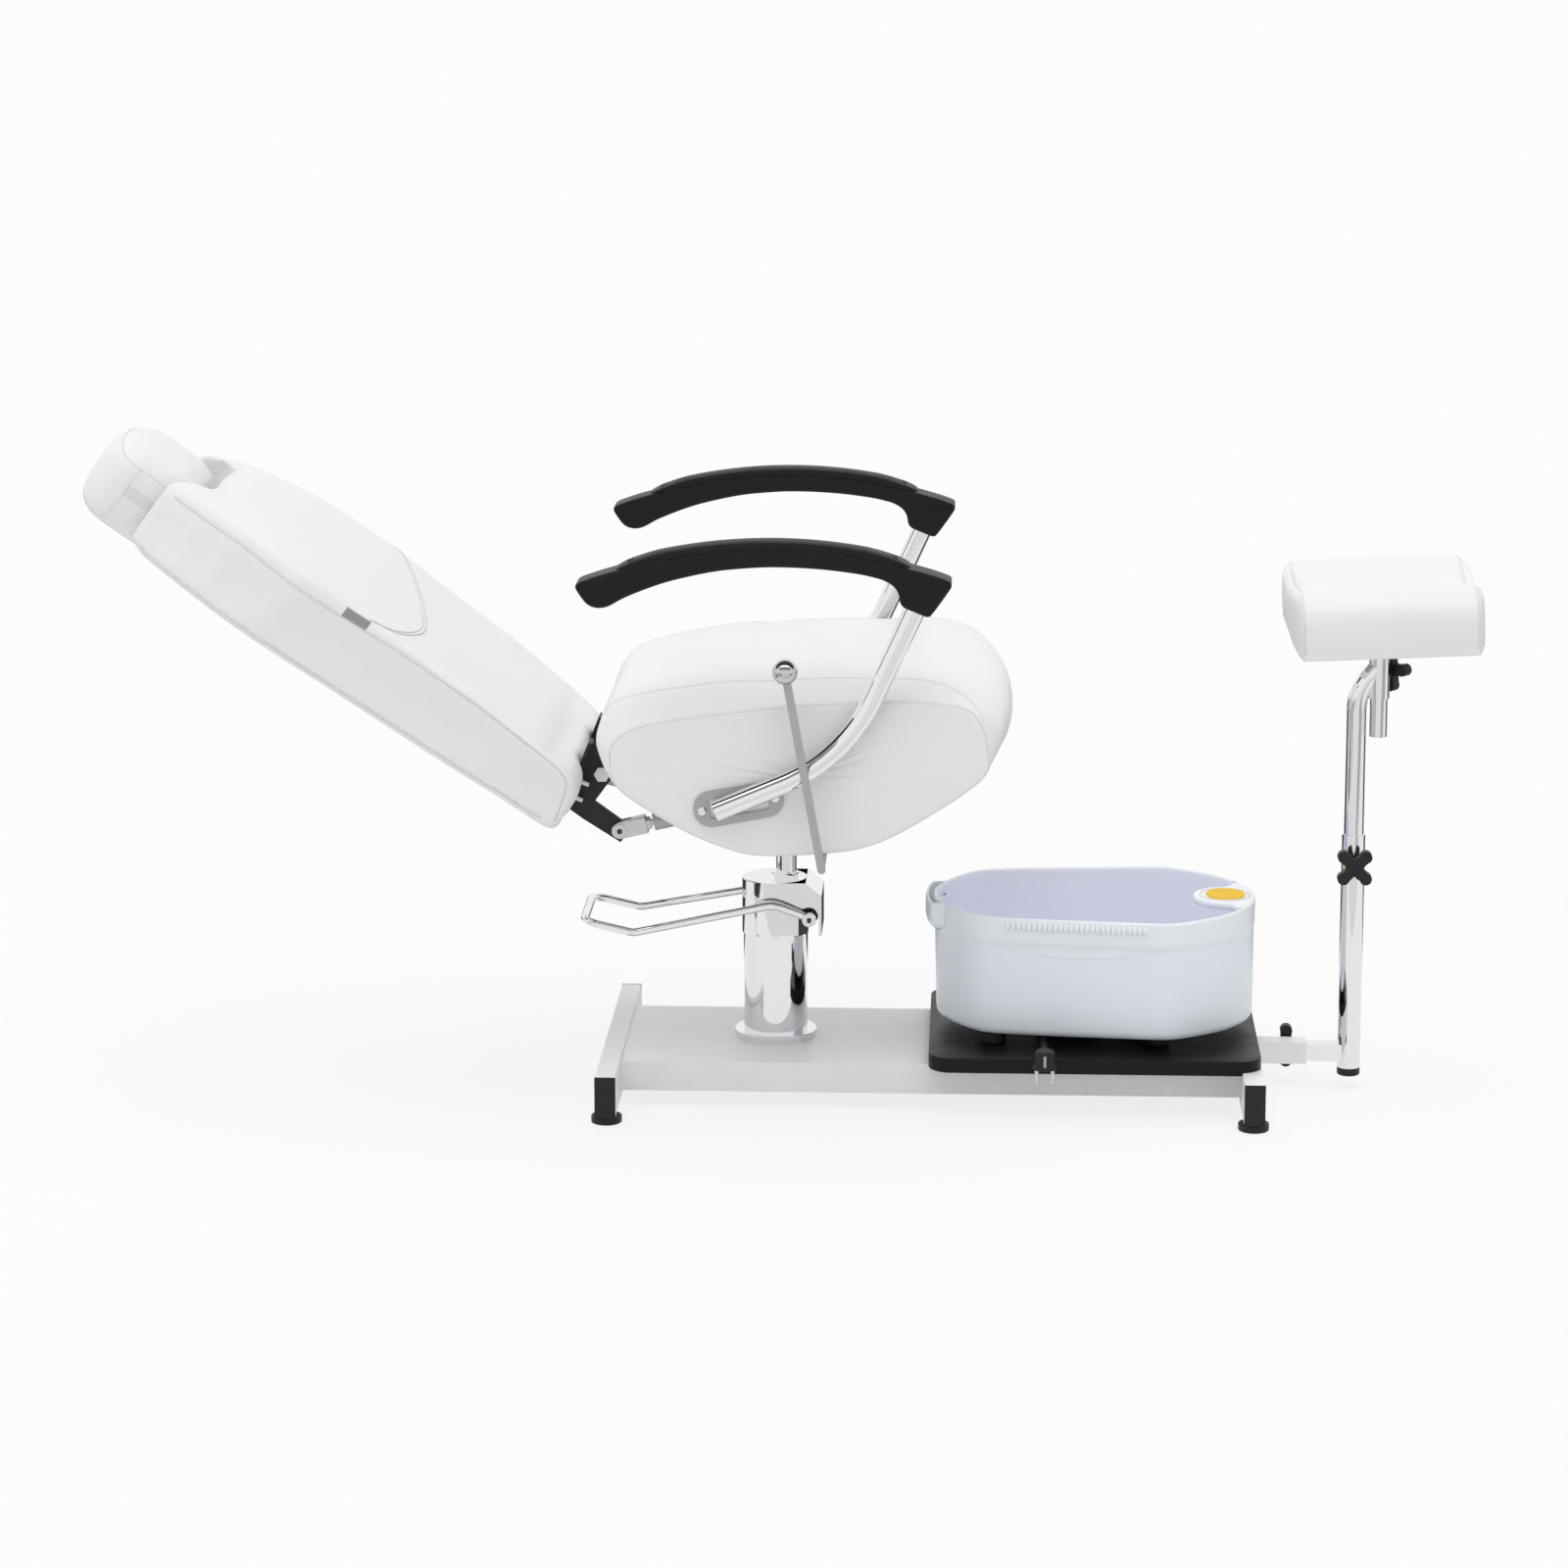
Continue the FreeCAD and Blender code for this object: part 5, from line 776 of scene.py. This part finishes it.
def make_back():
    """A slab with the back's plan and its notch, drawn flat, then shaped front and rear, swollen and sewn."""
    flank = [(u, back_half(u)) for u in spread(46, 604, 34)]
    corner = [(31, 176), (33, 190), (39, 196.5)]
    horn = [(618, 122), (627, 116), (629, 112), (624, 106), (606, 104)]
    notch = [(592, 103), (582, 99), (576, 88), (573, 72), (573, 40), (573, 0)]
    near = [(BACK_START, y) for y in (0, 60, 120, 155)] + corner + flank + horn + notch
    outline = [(u, -y) for u, y in near] + [(u, y) for u, y in reversed(near[1:-1])]
    points = [(u, y, level) for level, inset in BACK_LEVELS for u, y in shrink(outline, inset)]
    faces = bands(len(BACK_LEVELS), len(outline)) + ends(len(BACK_LEVELS), len(outline))
    back = add_mesh("back_upholstery", points, faces, LEATHER, "backrest")
    grid = back.modifiers.new("grid", "REMESH")
    grid.mode = "VOXEL"
    grid.voxel_size = BACK_VOXEL * MM
    apply_modifiers(back)
    relax(back, 2)
    held = []
    for vertex in back.data.vertices:
        u, y, level = in_mm(vertex.co)
        if abs(y) > back_half(u) - 9 and abs(abs(level) - BACK_LEVEL_HALF) < 9:
            held.append(vertex.index)
        front = back_front(u, y)
        rear = from_table(BACK_REAR, u)
        v = rear + (front - rear) * (level + BACK_LEVEL_HALF) / (2 * BACK_LEVEL_HALF)
        if u < BACK_ROUND:  # the lower end bulges beside the brackets and between them
            end = 1 - max(u - BACK_START, 0) / (BACK_ROUND - BACK_START)
            swell = max(0.0, 1 - ((v + 12) / 34) ** 2)
            aside = clamp((abs(y) - 92) / 14) + clamp((52 - abs(y)) / 14) * 0.6
            u = u - end * (0.32 * (5 - v) + swell * (2 + 10 * aside) + (3 if v < -30 else 0))
        vertex.co = scaled(raised(u, y, v))
    puff(back, held, cap=7.0, pressure=3.0)
    relax(back, 1)
    subdivide(back)
    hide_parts("back_cushion")
    for side, tag in SIDES:
        upper = [(19, -52), (23, -38), (28, -22), (33, -8), (40, 0)]
        upper += [(u, from_table(BACK_EDGE, u) - 2) for u in spread(50, 612, 80)]
        lower = [(u, from_table(BACK_REAR, u) + 8) for u in spread(36, 612, 80)]
        for name, line, way in (("back_seam_", upper, side * -1.0), ("back_seam_low_", lower, 0)):
            points = [raised(u, side * (back_half(u) + 1), v) for u, v in line]
            sewn(name + tag, back, points, "backrest", beside=(0, way, 3.0))
    path = through([(u, y, 0) for u, y in BACK_YOKE], 6, False)
    for shift, tag in ((0, "a"), (-5, "b")):
        line = [raised(u + shift, y, back_front(u, y) + 6) for u, y, _ in path]
        sewn("back_yoke_" + tag, back, line, "backrest", beside=(1.5, 0, 0) if shift else None)
    return back


# ---------------------------------------------------------------- headrest

HEAD_START = 587
HEAD_PLAN = [
    (587, 30), (587, 54), (590, 70), (597, 80), (604, 87.5), (613, 93), (630, 97), (650, 98), (664, 98.5),
    (680, 95), (692, 86), (702, 72), (709, 53), (713, 28),
]
HEAD_LEVELS = [
    (-103.5, 20), (-103, 14), (-101, 8.5), (-97, 4.6), (-91, 1.8), (-82, 0.3), (-70, -0.8), (-52, -1.2),
    (-38, -0.6), (-29, 0.8), (-22, 3), (-16, 6.2), (-11.5, 10.4), (-8, 15.5), (-6, 21),
]
HEAD_SEAM = [(658, -95), (675, -94), (689, -87), (701, -60), (706, -30)]
ZIP_ROWS = 4
ZIP_PITCH = 3.6


def make_headrest():
    """A pillow with a bulging outer end panel, side panels with a zip band, and sewn edges."""
    plan = [(HEAD_START, 0)] + HEAD_PLAN + [(714, 0)] + mirror(HEAD_PLAN)
    outline = through(plan, 5, True)
    rings = []
    for v, inset in HEAD_LEVELS:
        ring = []
        for u, y in shrink(outline, inset):
            if u <= 600:
                u = HEAD_START + (u - HEAD_START) * 0.6
            ring.append(raised(u, y, v + 2.0 * (1 - (y / 100) ** 2)))
        rings.append(ring)
    way = (math.sin(RECLINE), 0, math.cos(RECLINE))
    points, faces = loft(rings, cap_rings=8, bulge=4.5, way=way)
    rest = add_mesh("headrest_upholstery", points, faces, LEATHER, "headrest")

    def at_seam(*point):
        u, y, v = lowered(*point)
        return u < HEAD_START + 5 or (abs(y) > 80 and u < 690 and (v > -8 or v < -99))

    puff(rest, held_where(rest, at_seam), cap=5.0, pressure=3.0)
    subdivide(rest)
    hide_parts("headrest_cushion")
    skin = skin_tree(rest)
    for side, tag in SIDES:
        top = [raised(u, side * 94, -20) for u in range(598, 664, 6)]
        sewn("headrest_seam_top_" + tag, rest, top, "headrest")
        across = []
        for v in range(-96, -17, 6):
            u = 661 + 3 * ((v + 52) / 40) ** 2 * (1 if v < -52 else 0.3)
            across.append(raised(u, side * 101, v))
        sewn("headrest_seam_side_" + tag, rest, across, "headrest", beside=(-2.5, 0, 1.8))
        for i in range(ZIP_ROWS):
            band = [raised(u, side * 101, -55 + ZIP_PITCH * i) for u in range(596, 663, 3)]
            line = [onto(skin, q, -0.2) for q in even(band, 5.0)]
            tube("headrest_zip_%s_%d" % (tag, i), line, 0.38, DARK_ZIP, "headrest", sides=6)
    arc = through(HEAD_SEAM + [(707, 0)] + mirror(HEAD_SEAM), 6, False)
    front = [raised(u, y, -20 + 13 * (1 - (y / 95) ** 2)) for u, y in arc]
    sewn("headrest_seam_front", rest, front, "headrest", beside=(-2.5, 0, 2))
    sewn("headrest_seam_rear", rest, [raised(u - 8, y, -106) for u, y in arc], "headrest")


# ---------------------------------------------------------------- leg cushion

LEG_UPPER = [
    (-147, 572), (-150, 590), (-149, 612), (-138, 630), (-118, 639), (-96, 640), (-70, 633), (-44, 621),
    (-20, 612),
]
LEG_UNDER = [(142, 563), (100, 562), (50, 562)]
LEG_SECTION = LEG_UPPER + [(0, 609)] + mirror(LEG_UPPER, 0) + LEG_UNDER + [(0, 562)] + mirror(LEG_UNDER, 0)
LEG_MIDDLE = 733.5
LEG_REACH = 104.0
LEG_TILT = math.radians(2.6)
LEG_SEAT = 562
LEG_PLACES = [-1, -0.97, -0.92, -0.84, -0.7, -0.5, -0.25, 0, 0.25, 0.5, 0.7, 0.84, 0.92, 0.97, 1]


def leg_place(x, y, z):
    """Tilts a point of the leg cushion about its seat on the plate."""
    dx = x - LEG_MIDDLE
    dz = z - LEG_SEAT
    return (
        LEG_MIDDLE + dx * math.cos(LEG_TILT) - dz * math.sin(LEG_TILT),
        y,
        LEG_SEAT + dx * math.sin(LEG_TILT) + dz * math.cos(LEG_TILT),
    )


def leg_fill(share, y, z):
    """How far an end panel fills the valley between the lobes."""
    return (24 if share < 0 else 4) * max(0.0, 1 - (y / 78) ** 2) if z > 600 else 0.0


def make_leg_cushion():
    """The two-lobed cushion, with its end panels and their seams."""
    section = through(LEG_SECTION, 4, True)
    rings = []
    for share in LEG_PLACES:
        ring = []
        draw = 1 - 0.012 * abs(share) ** 6
        for y, z in section:
            z += leg_fill(share, y, z) * abs(share) ** 10
            crown = 1.5 * (1 - abs(share) ** 2) if z > 570 else 0
            height = LEG_SEAT + (z - LEG_SEAT) * draw + crown
            ring.append(leg_place(LEG_MIDDLE + share * LEG_REACH, y * draw, height))
        rings.append(ring)
    points, faces = loft(rings, cap_rings=9, bulge=11.0, way=(1, 0, 0))
    pad = add_mesh("leg_upholstery", points, faces, LEATHER, "leg_pad")

    def at_seam(x, y, z):
        along = (x - LEG_MIDDLE) * math.cos(LEG_TILT) + (z - LEG_SEAT) * math.sin(LEG_TILT)
        up = -(x - LEG_MIDDLE) * math.sin(LEG_TILT) + (z - LEG_SEAT) * math.cos(LEG_TILT)
        on_rim = abs(abs(along) - LEG_REACH) < 1.5 and (abs(y) > 138 or up > 44 or up < 2)
        return on_rim or up < 1.0

    puff(pad, held_where(pad, at_seam), cap=5.0, pressure=3.0)
    subdivide(pad)
    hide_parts("leg_cushion")
    for share, tag in ((-1, "rear"), (1, "front")):
        end = LEG_MIDDLE + share * LEG_REACH
        line = [leg_place(end, y, z + leg_fill(share, y, z)) for y, z in section + section[:1]]
        sewn("leg_seam_" + tag, pad, line, "leg_pad", beside=(share * -3.0, 0, 0))


# ---------------------------------------------------------------- tab on the backrest


def make_tag(back):
    """A blank woven tab sewn in at the side seam and lying up over the rounded edge."""
    tree = skin_tree(back)
    points = []
    for u in spread(333, 366, 11):
        for t in spread(0, 1, 9):
            v = from_table(BACK_EDGE, u) - 1 + 13 * t
            points.append(onto(tree, raised(u, -211 + 8 * t**1.6, v), 0.5))
    tag = add_mesh("back_tag_cloth", points, bands(11, 9, ring=False), TAG, "backrest")
    solid = tag.modifiers.new("thick", "SOLIDIFY")
    solid.thickness = 0.0012
    solid.offset = 0
    apply_modifiers(tag)
    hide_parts("back_tag")


# ---------------------------------------------------------------- arm pads

PAD_UNDER = [
    (-217.4, 669), (-211, 658), (-203, 649), (-193.4, 645.5), (-184, 646), (-176, 649), (-160, 657.8),
    (-131, 669.7), (-104, 678.4), (-64.4, 687.5), (-32.5, 691.8), (10, 694.3), (60, 692.6), (105, 687.5),
    (130, 682.2), (140, 678.5), (147.8, 673.5), (152.5, 667.5), (154.8, 661), (156, 654), (160.5, 648.5),
    (172, 643.5), (184, 638.6), (189, 638), (193, 641), (204, 656), (213.5, 670), (215, 674),
]
PAD_ABOVE = [
    (214, 678.6), (206, 682.2), (190, 687.5), (150, 698), (100, 708), (50, 713.6), (9, 715), (-40, 713.2),
    (-90, 707.2), (-140, 697), (-180, 686.6), (-204, 678.8), (-214.5, 674.5),
]
PAD_LEVELS = [(25, 5.4), (25, 4.8), (24.5, 3.2), (23.4, 1.7), (22, 0.7), (20.5, 0.2), (18, 0), (6, 0)]
PAD_MIDDLE = 277.8
GRIP_MIDDLE = -2
GRIP_REACH = 176 * 0.88
GRIP_HALF = 22.0
GRIP_CORNER = 15
GRIP_RISE = [(-9, 0), (1.5, 0), (3.4, 0.4), (5, 1.6), (6.4, 3.6), (7.6, 7), (8.6, 11), (9.2, 15.5), (9.5, 20)]


def pad_top(x):
    """The height of the armrest's arched top."""
    return 715.2 - (x - 9) ** 2 / 1220


def make_arm_pad(side, tag, node):
    """A moulded bar with rounded edges and, on it, a raised grip with a crowned top."""
    middle = side * PAD_MIDDLE
    outline = through(PAD_UNDER + PAD_ABOVE, 4, True)
    rings = []
    for y, inset in PAD_LEVELS + mirror(PAD_LEVELS, 0):
        rings.append([(x, middle + y, z) for x, z in shrink(outline, inset)])
    bar = stacked("arm_rest_" + tag, rings, PAD_FOAM, "seat")
    edge = [(GRIP_MIDDLE + GRIP_REACH * math.sin(i / 14 * math.pi / 2), GRIP_HALF) for i in range(-14, 15)]
    corner = []
    for a in (0.35, 0.7, 1.05, 1.4):
        end = GRIP_MIDDLE + GRIP_REACH + GRIP_CORNER * math.sin(a)
        corner.append((end, GRIP_HALF - GRIP_CORNER + GRIP_CORNER * math.cos(a)))
    near = [(2 * GRIP_MIDDLE - x, y) for x, y in reversed(corner)] + edge + corner
    plan = near + mirror(near)
    rings = []
    for h, inset in GRIP_RISE:
        ring = []
        for x, y in shrink(plan, inset):
            end = clamp((abs(x - GRIP_MIDDLE) - 118) / 52)
            ring.append((x, middle + y, pad_top(x) + h - max(h, 0) * 0.62 * end**1.5))
        rings.append(ring)
    grip = stacked("arm_grip_" + tag, rings, PAD_FOAM, "seat")
    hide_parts(node)


# ---------------------------------------------------------------- foot bath

BATH_RIM = [
    (195, 0), (196, 22), (203, 45), (219, 78), (238, 104), (260, 120), (302, 129), (350, 135.5), (404, 141),
    (464, 147), (489, 142.5), (518, 124), (548, 97), (568, 66), (581, 33), (585, 0),
]
BATH_TOP = 240
BATH_SECTION = [
    (90, 11), (90.3, 7), (92, 3.2), (95.5, 0.9), (100, 0), (130, 0), (170, 0), (200, 0), (207.5, 0),
    (209, -0.9), (214, -1), (225, -1), (233, -1.2), (236.5, -1.6), (239, -1), (240, 0.6), (239.6, 2.4),
    (238, 3.3), (234, 3.4), (200, 3.2), (150, 3.1), (110, 3.1), (101, 3.6), (96.5, 5.6), (94, 9), (93.2, 14),
    (93, 22),
]
LIP_PLAN = [(184.2, 0), (185, 20), (187, 38), (189.5, 50), (192.5, 56.5), (200, 57.5), (208, 58)]
LIP_SECTION = [
    (205, 14), (206.5, 8), (209, 3.6), (212.5, 1), (217, 0), (226, -0.3), (234, 0), (237.5, 0.4),
    (239.6, 1.3), (240, 2.4), (239.2, 3.5), (237, 3.9), (231, 4), (227.5, 5), (226.5, 8), (226.3, 13),
    (226.3, 20),
]
DECK_PLAN = [
    (510.5, 0), (511.6, 9), (514.5, 18), (520, 27), (529, 35), (540, 40.5), (550, 44.5), (557.5, 50),
    (561, 57), (561.5, 65), (560.5, 72), (564.5, 72.5), (569, 64), (575, 50), (581, 27), (583.5, 0),
]
DECK_LEVELS = ((232, 0.6), (236, 0), (238.6, 0.3), (239.9, 1.5), (240.1, 3.2), (240.1, 4.2))
BEAD_COUNT = 27
BEAD_PITCH = 6.3
BEAD_RADIUS = 3.4
BEAD_HEIGHT = 230
PAD_PLACE = (549, 0, BATH_TOP)
PAD_RADIUS = 30.5
X_WAY = Vector((1, 0, 0))
Y_WAY = Vector((0, 1, 0))


def bath_ring(z, inset):
    """The tub's plan at height z, drawn in all round by inset."""
    draft = 16 * (BATH_TOP - z) / 150
    moved = []
    for x, y in BATH_RIM + mirror(BATH_RIM[1:-1]):
        moved.append((x + max(0.0, (365 - x) / 170) * draft * 0.2, y * (1 - draft / 150)))
    outline = through(moved, 6, True)
    return [(x, y, z) for x, y in shrink(outline, inset)]


def bath_at(x, side, z, inset):
    """The place on the tub's side wall at x and height z."""
    near = sorted(p for p in bath_ring(z, inset) if p[1] * side > 60)
    for a, b in zip(near, near[1:]):
        if a[0] <= x <= b[0] and b[0] > a[0]:
            t = (x - a[0]) / (b[0] - a[0])
            return tuple(p + (q - p) * t for p, q in zip(a, b))
    return near[0]


def blobs(name, places, radius, tall, material, body):
    """Many small rounded beads as one piece, tall times as high as wide."""
    points = []
    faces = []
    rows = 5
    around = 10
    for x, y, z in places:
        base = len(points)
        for i in range(1, rows):
            polar = math.pi * i / rows
            level = (x, y, z + radius * tall * math.cos(polar))
            points += circle(level, X_WAY, Y_WAY, radius * math.sin(polar), around)
        faces += bands(rows - 1, around, base=base)
        top = len(points)
        points += [(x, y, z + radius * tall), (x, y, z - radius * tall)]
        for j in range(around):
            k = (j + 1) % around
            faces.append((top, base + k, base + j))
            faces.append((top + 1, base + (rows - 2) * around + j, base + (rows - 2) * around + k))
    return add_mesh(name, points, faces, material, body)


def make_bath():
    """The moulded tub: drafted wall, band below the rim, rounded rim, inner wall and floor."""
    rings = [bath_ring(z, inset) for z, inset in BATH_SECTION]
    count = len(rings[0])
    faces = bands(len(rings), count) + ends(len(rings), count)
    points = [p for ring in rings for p in ring]
    tub = add_mesh("bath_moulding", points, faces, BATH, "bath")
    tub.data.materials.append(BATH_INSIDE_PAINTED_SHADE)
    tub.data.materials.append(BATH_RIM_PAINTED_LIGHT)
    for face in tub.data.polygons:
        x, y, z = in_mm(face.center)
        inward = face.normal.x * (x - 380) + face.normal.y * y * 3 < 0
        # painted shade: inward faces and the tub's floor take the dimmer inside copy of the plastic
        if (face.normal.z > 0.9 and z < 100) or (95 < z < 237.5 and inward):
            face.material_index = 1
        # painted light: faces above 207.5 mm take the paler rim copy
        elif z > 207.5:
            face.material_index = 2
    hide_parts("bath_tub")
    beads = []
    for side in (-1, 1):
        beads += [bath_at(284 + BEAD_PITCH * i, side, BEAD_HEIGHT, -1.2) for i in range(BEAD_COUNT)]
    # the beads take the paler copy as painted light, against the shade under the rim
    blobs("bath_beads", beads, BEAD_RADIUS, 1.9, BATH_RIM_PAINTED_LIGHT, "bath")
    for side, tag in ((-1, "near"), (1, "far")):
        arc = []
        for t in spread(0, 1, 41):
            sag = 13.5 * math.sin(math.pi * t) ** 0.7
            arc.append(bath_at(262 + (474 - 262) * t, side, 206 - sag, 0.3))
        ridge = tube("bath_arc_" + tag, arc, lambda t: 0.25 + 0.8 * math.sin(math.pi * t), BATH, "bath")
    line = through(mirror(LIP_PLAN[1:]) + LIP_PLAN, 5, False)
    points = []
    for z, inset in LIP_SECTION:
        for i, (x, y) in enumerate(line):
            ahead = Vector(line[min(i + 1, len(line) - 1)]) - Vector(line[max(i - 1, 0)])
            points.append((x + ahead.y / ahead.length * inset, y - ahead.x / ahead.length * inset, z))
    lip = add_mesh("bath_lip", points, bands(len(LIP_SECTION), len(line), ring=False), BATH_RIM_PAINTED_LIGHT, "bath")
    plan = through(mirror(DECK_PLAN[1:]) + DECK_PLAN[:-1], 4, True)
    rings = [[(x, y, z) for x, y in shrink(plan, inset)] for z, inset in DECK_LEVELS]
    stacked("bath_deck", rings, BATH_RIM_PAINTED_LIGHT, "bath")
    frame_line = circle(PAD_PLACE, X_WAY, Y_WAY, PAD_RADIUS, 48)
    tube("bath_pad_frame", frame_line, 1.5, BLUSH, "bath", closed=True)


# ---------------------------------------------------------------- mains lead

LEAD_HEIGHT = 81.4  # at the gland and at the plug
PLUG_PLACE = (329, -181)
COIL_PLACE = (362, 0)
COIL_TURNS = 6.25
COIL_WOUND = 3.0  # turns of the lower layer
COIL_CLIMBED = 3.4  # the turn at which the upper layer starts
COIL_STEPS = 14  # points to a turn
COIL_INNER = 23.8
COIL_OUTER = 43.4
COIL_LOW = 78.4
COIL_RISE = 6.2
LEAD_START = [(420.0, 37.0, LEAD_HEIGHT), (404, 37.6, 80.6), (386, 40, 79.2), (374, 42.2, 78.6)]
LEAD_END = [
    (318.6, -14, 83.4), (322, -34, 82.2), (328, -60, LEAD_HEIGHT), (PLUG_PLACE[0], -80, LEAD_HEIGHT),
    (PLUG_PLACE[0], -100, LEAD_HEIGHT),
]


def make_cord():
    """The lead: out of its gland, wound up below the bath in two layers, and out to the plug."""
    points = list(LEAD_START)
    span = COIL_OUTER - COIL_INNER
    for i in range(int(COIL_STEPS * COIL_TURNS) + 1):
        turn = i / COIL_STEPS
        angle = math.pi / 2 + 2 * math.pi * turn
        rise = COIL_RISE * clamp((turn - COIL_WOUND) / (COIL_CLIMBED - COIL_WOUND))
        if turn <= COIL_WOUND:
            radius = COIL_OUTER - span * turn / COIL_WOUND
        else:
            radius = COIL_INNER + span * max(0.0, (turn - COIL_CLIMBED) / (COIL_TURNS - COIL_CLIMBED))
        x = COIL_PLACE[0] + radius * math.cos(angle)
        points.append((x, COIL_PLACE[1] + radius * math.sin(angle), COIL_LOW + rise))
    points += LEAD_END
    curve = bpy.data.curves.new("mains_lead", "CURVE")
    curve.dimensions = "3D"
    spline = curve.splines.new("NURBS")
    spline.points.add(len(points) - 1)
    for place, point in zip(spline.points, points):
        place.co = (*scaled(point), 1)
    spline.order_u = 3
    spline.use_endpoint_u = True
    curve.resolution_u = 6
    curve.bevel_depth = 0.003
    curve.bevel_resolution = 4
    curve.use_fill_caps = True
    curve.materials.append(CORD)
    lead = bpy.data.objects.new("mains_lead", curve)
    put(lead)
    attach(lead, "bath")
    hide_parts("cord_tube", "cord_coil")
    return lead


def make_relief():
    """The tapered and ribbed strain relief at the bath's gland."""

    def ribbed(t):
        return 6.0 - 2.4 * t + (0.35 if int(t * 10) % 2 else 0)

    line = [(x, LEAD_START[0][1], LEAD_HEIGHT) for x in spread(442, LEAD_START[0][0], 11)]
    relief = tube("lead_relief", line, ribbed, BLACK_RUBBER, "bath", 20)
    block = add_mesh("lead_gland", *box_mesh(426, 448, 31, 43, 75.4, 90), BLACK_RUBBER, "bath", smooth=False)
    soften = block.modifiers.new("round", "BEVEL")
    soften.width = 0.0015
    soften.segments = 3
    apply_modifiers(block)
    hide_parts("cord_gland")


def socket_shade(name, middle, side, radius, sides, body):
    """A dark disc on the end of a bolt or pin that lies across the chair, painted shade standing in for a
    recess.
    """
    along = Vector((0, side, 0))
    across = along.orthogonal().normalized()
    other = along.cross(across)
    rings = []
    for far, size in ((-1.5, radius), (0.06, radius), (0.06, radius - 0.3)):
        rings.append(circle(Vector(middle) + along * far, across, other, size, sides))
    return stacked(name, rings, DARK_STEEL_AND_SOCKET_SHADE, body)


def make_small_details():
    """Dark hexagons painted as the shade in the pedal bolts' sockets, and a dark disc painted as the shade of
    a recess in the clevis pin.
    """
    low, high = (in_mm(corner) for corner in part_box("pedal_bolts"))
    for side, tag in SIDES:
        middle = ((low[0] + high[0]) / 2, low[1] if side < 0 else high[1], (low[2] + high[2]) / 2)
        socket_shade("pedal_socket_shade_" + tag, middle, side, 2.9, 6, "pedal")
    low, high = (in_mm(corner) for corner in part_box("clevis_pin"))
    middle = ((low[0] + high[0]) / 2, low[1], (low[2] + high[2]) / 2)
    socket_shade("pin_recess_shade", middle, -1, 3.4, 20, "gas_rod")


SLEEVE_ENDS = (-168, -100)
PLUG_LEVELS = (
    (92, 5, 8), (91.6, 8, 11), (90.4, 10.4, 13.6), (88, 12, 15.4), (84, 12.6, 16.2), (80, 11.4, 15.2),
    (77.5, 11.2, 15), (75, 13, 16.2), (73, 14.4, 16.8), (71.5, 14.9, 17), (70.4, 14.4, 16.6), (70, 13, 15.4),
)
PLUG_KEY = ((-198.1, 75), (-198.6, 76), (-198.6, 88), (-198.1, 89))


def make_plug():
    """The angled plug: a waisted body over the tray's edge and a ribbed sleeve on the lead."""

    def ribbed(t):
        return 5.9 - 2.3 * t - (0.5 if int(t * 34) % 3 == 2 else 0)

    rings = []
    for z, wide, deep in PLUG_LEVELS:
        ring = []
        for i in range(40):
            angle = 2 * math.pi * i / 40
            c = math.cos(angle)
            q = math.sin(angle)
            x = math.copysign(abs(c) ** 0.62, c) * wide
            y = math.copysign(abs(q) ** 0.62, q) * deep
            ring.append((PLUG_PLACE[0] + x, PLUG_PLACE[1] + y, z))
        rings.append(ring)
    body = stacked("plug_moulding", rings, BLACK_PLASTIC, "bath")
    line = [(PLUG_PLACE[0], y, LEAD_HEIGHT) for y in spread(*SLEEVE_ENDS, 35)]
    sleeve = tube("plug_sleeve", line, ribbed, BLACK_PLASTIC, "bath", 20)
    key = stacked("plug_key", [[(x, y, z) for y, z in PLUG_KEY] for x in (327.4, 330.6)], GREY_ENAMEL, "bath")
    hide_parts("plug_body")
    return body, sleeve, key


make_seat()
back_skin = make_back()
make_headrest()
make_leg_cushion()
make_tag(back_skin)
make_arm_pad(-1, "right", "arm_pad_right")
make_arm_pad(1, "left", "arm_pad_left")
make_bath()
make_relief()
plug_pieces = make_plug()
make_small_details()
lead = make_cord()
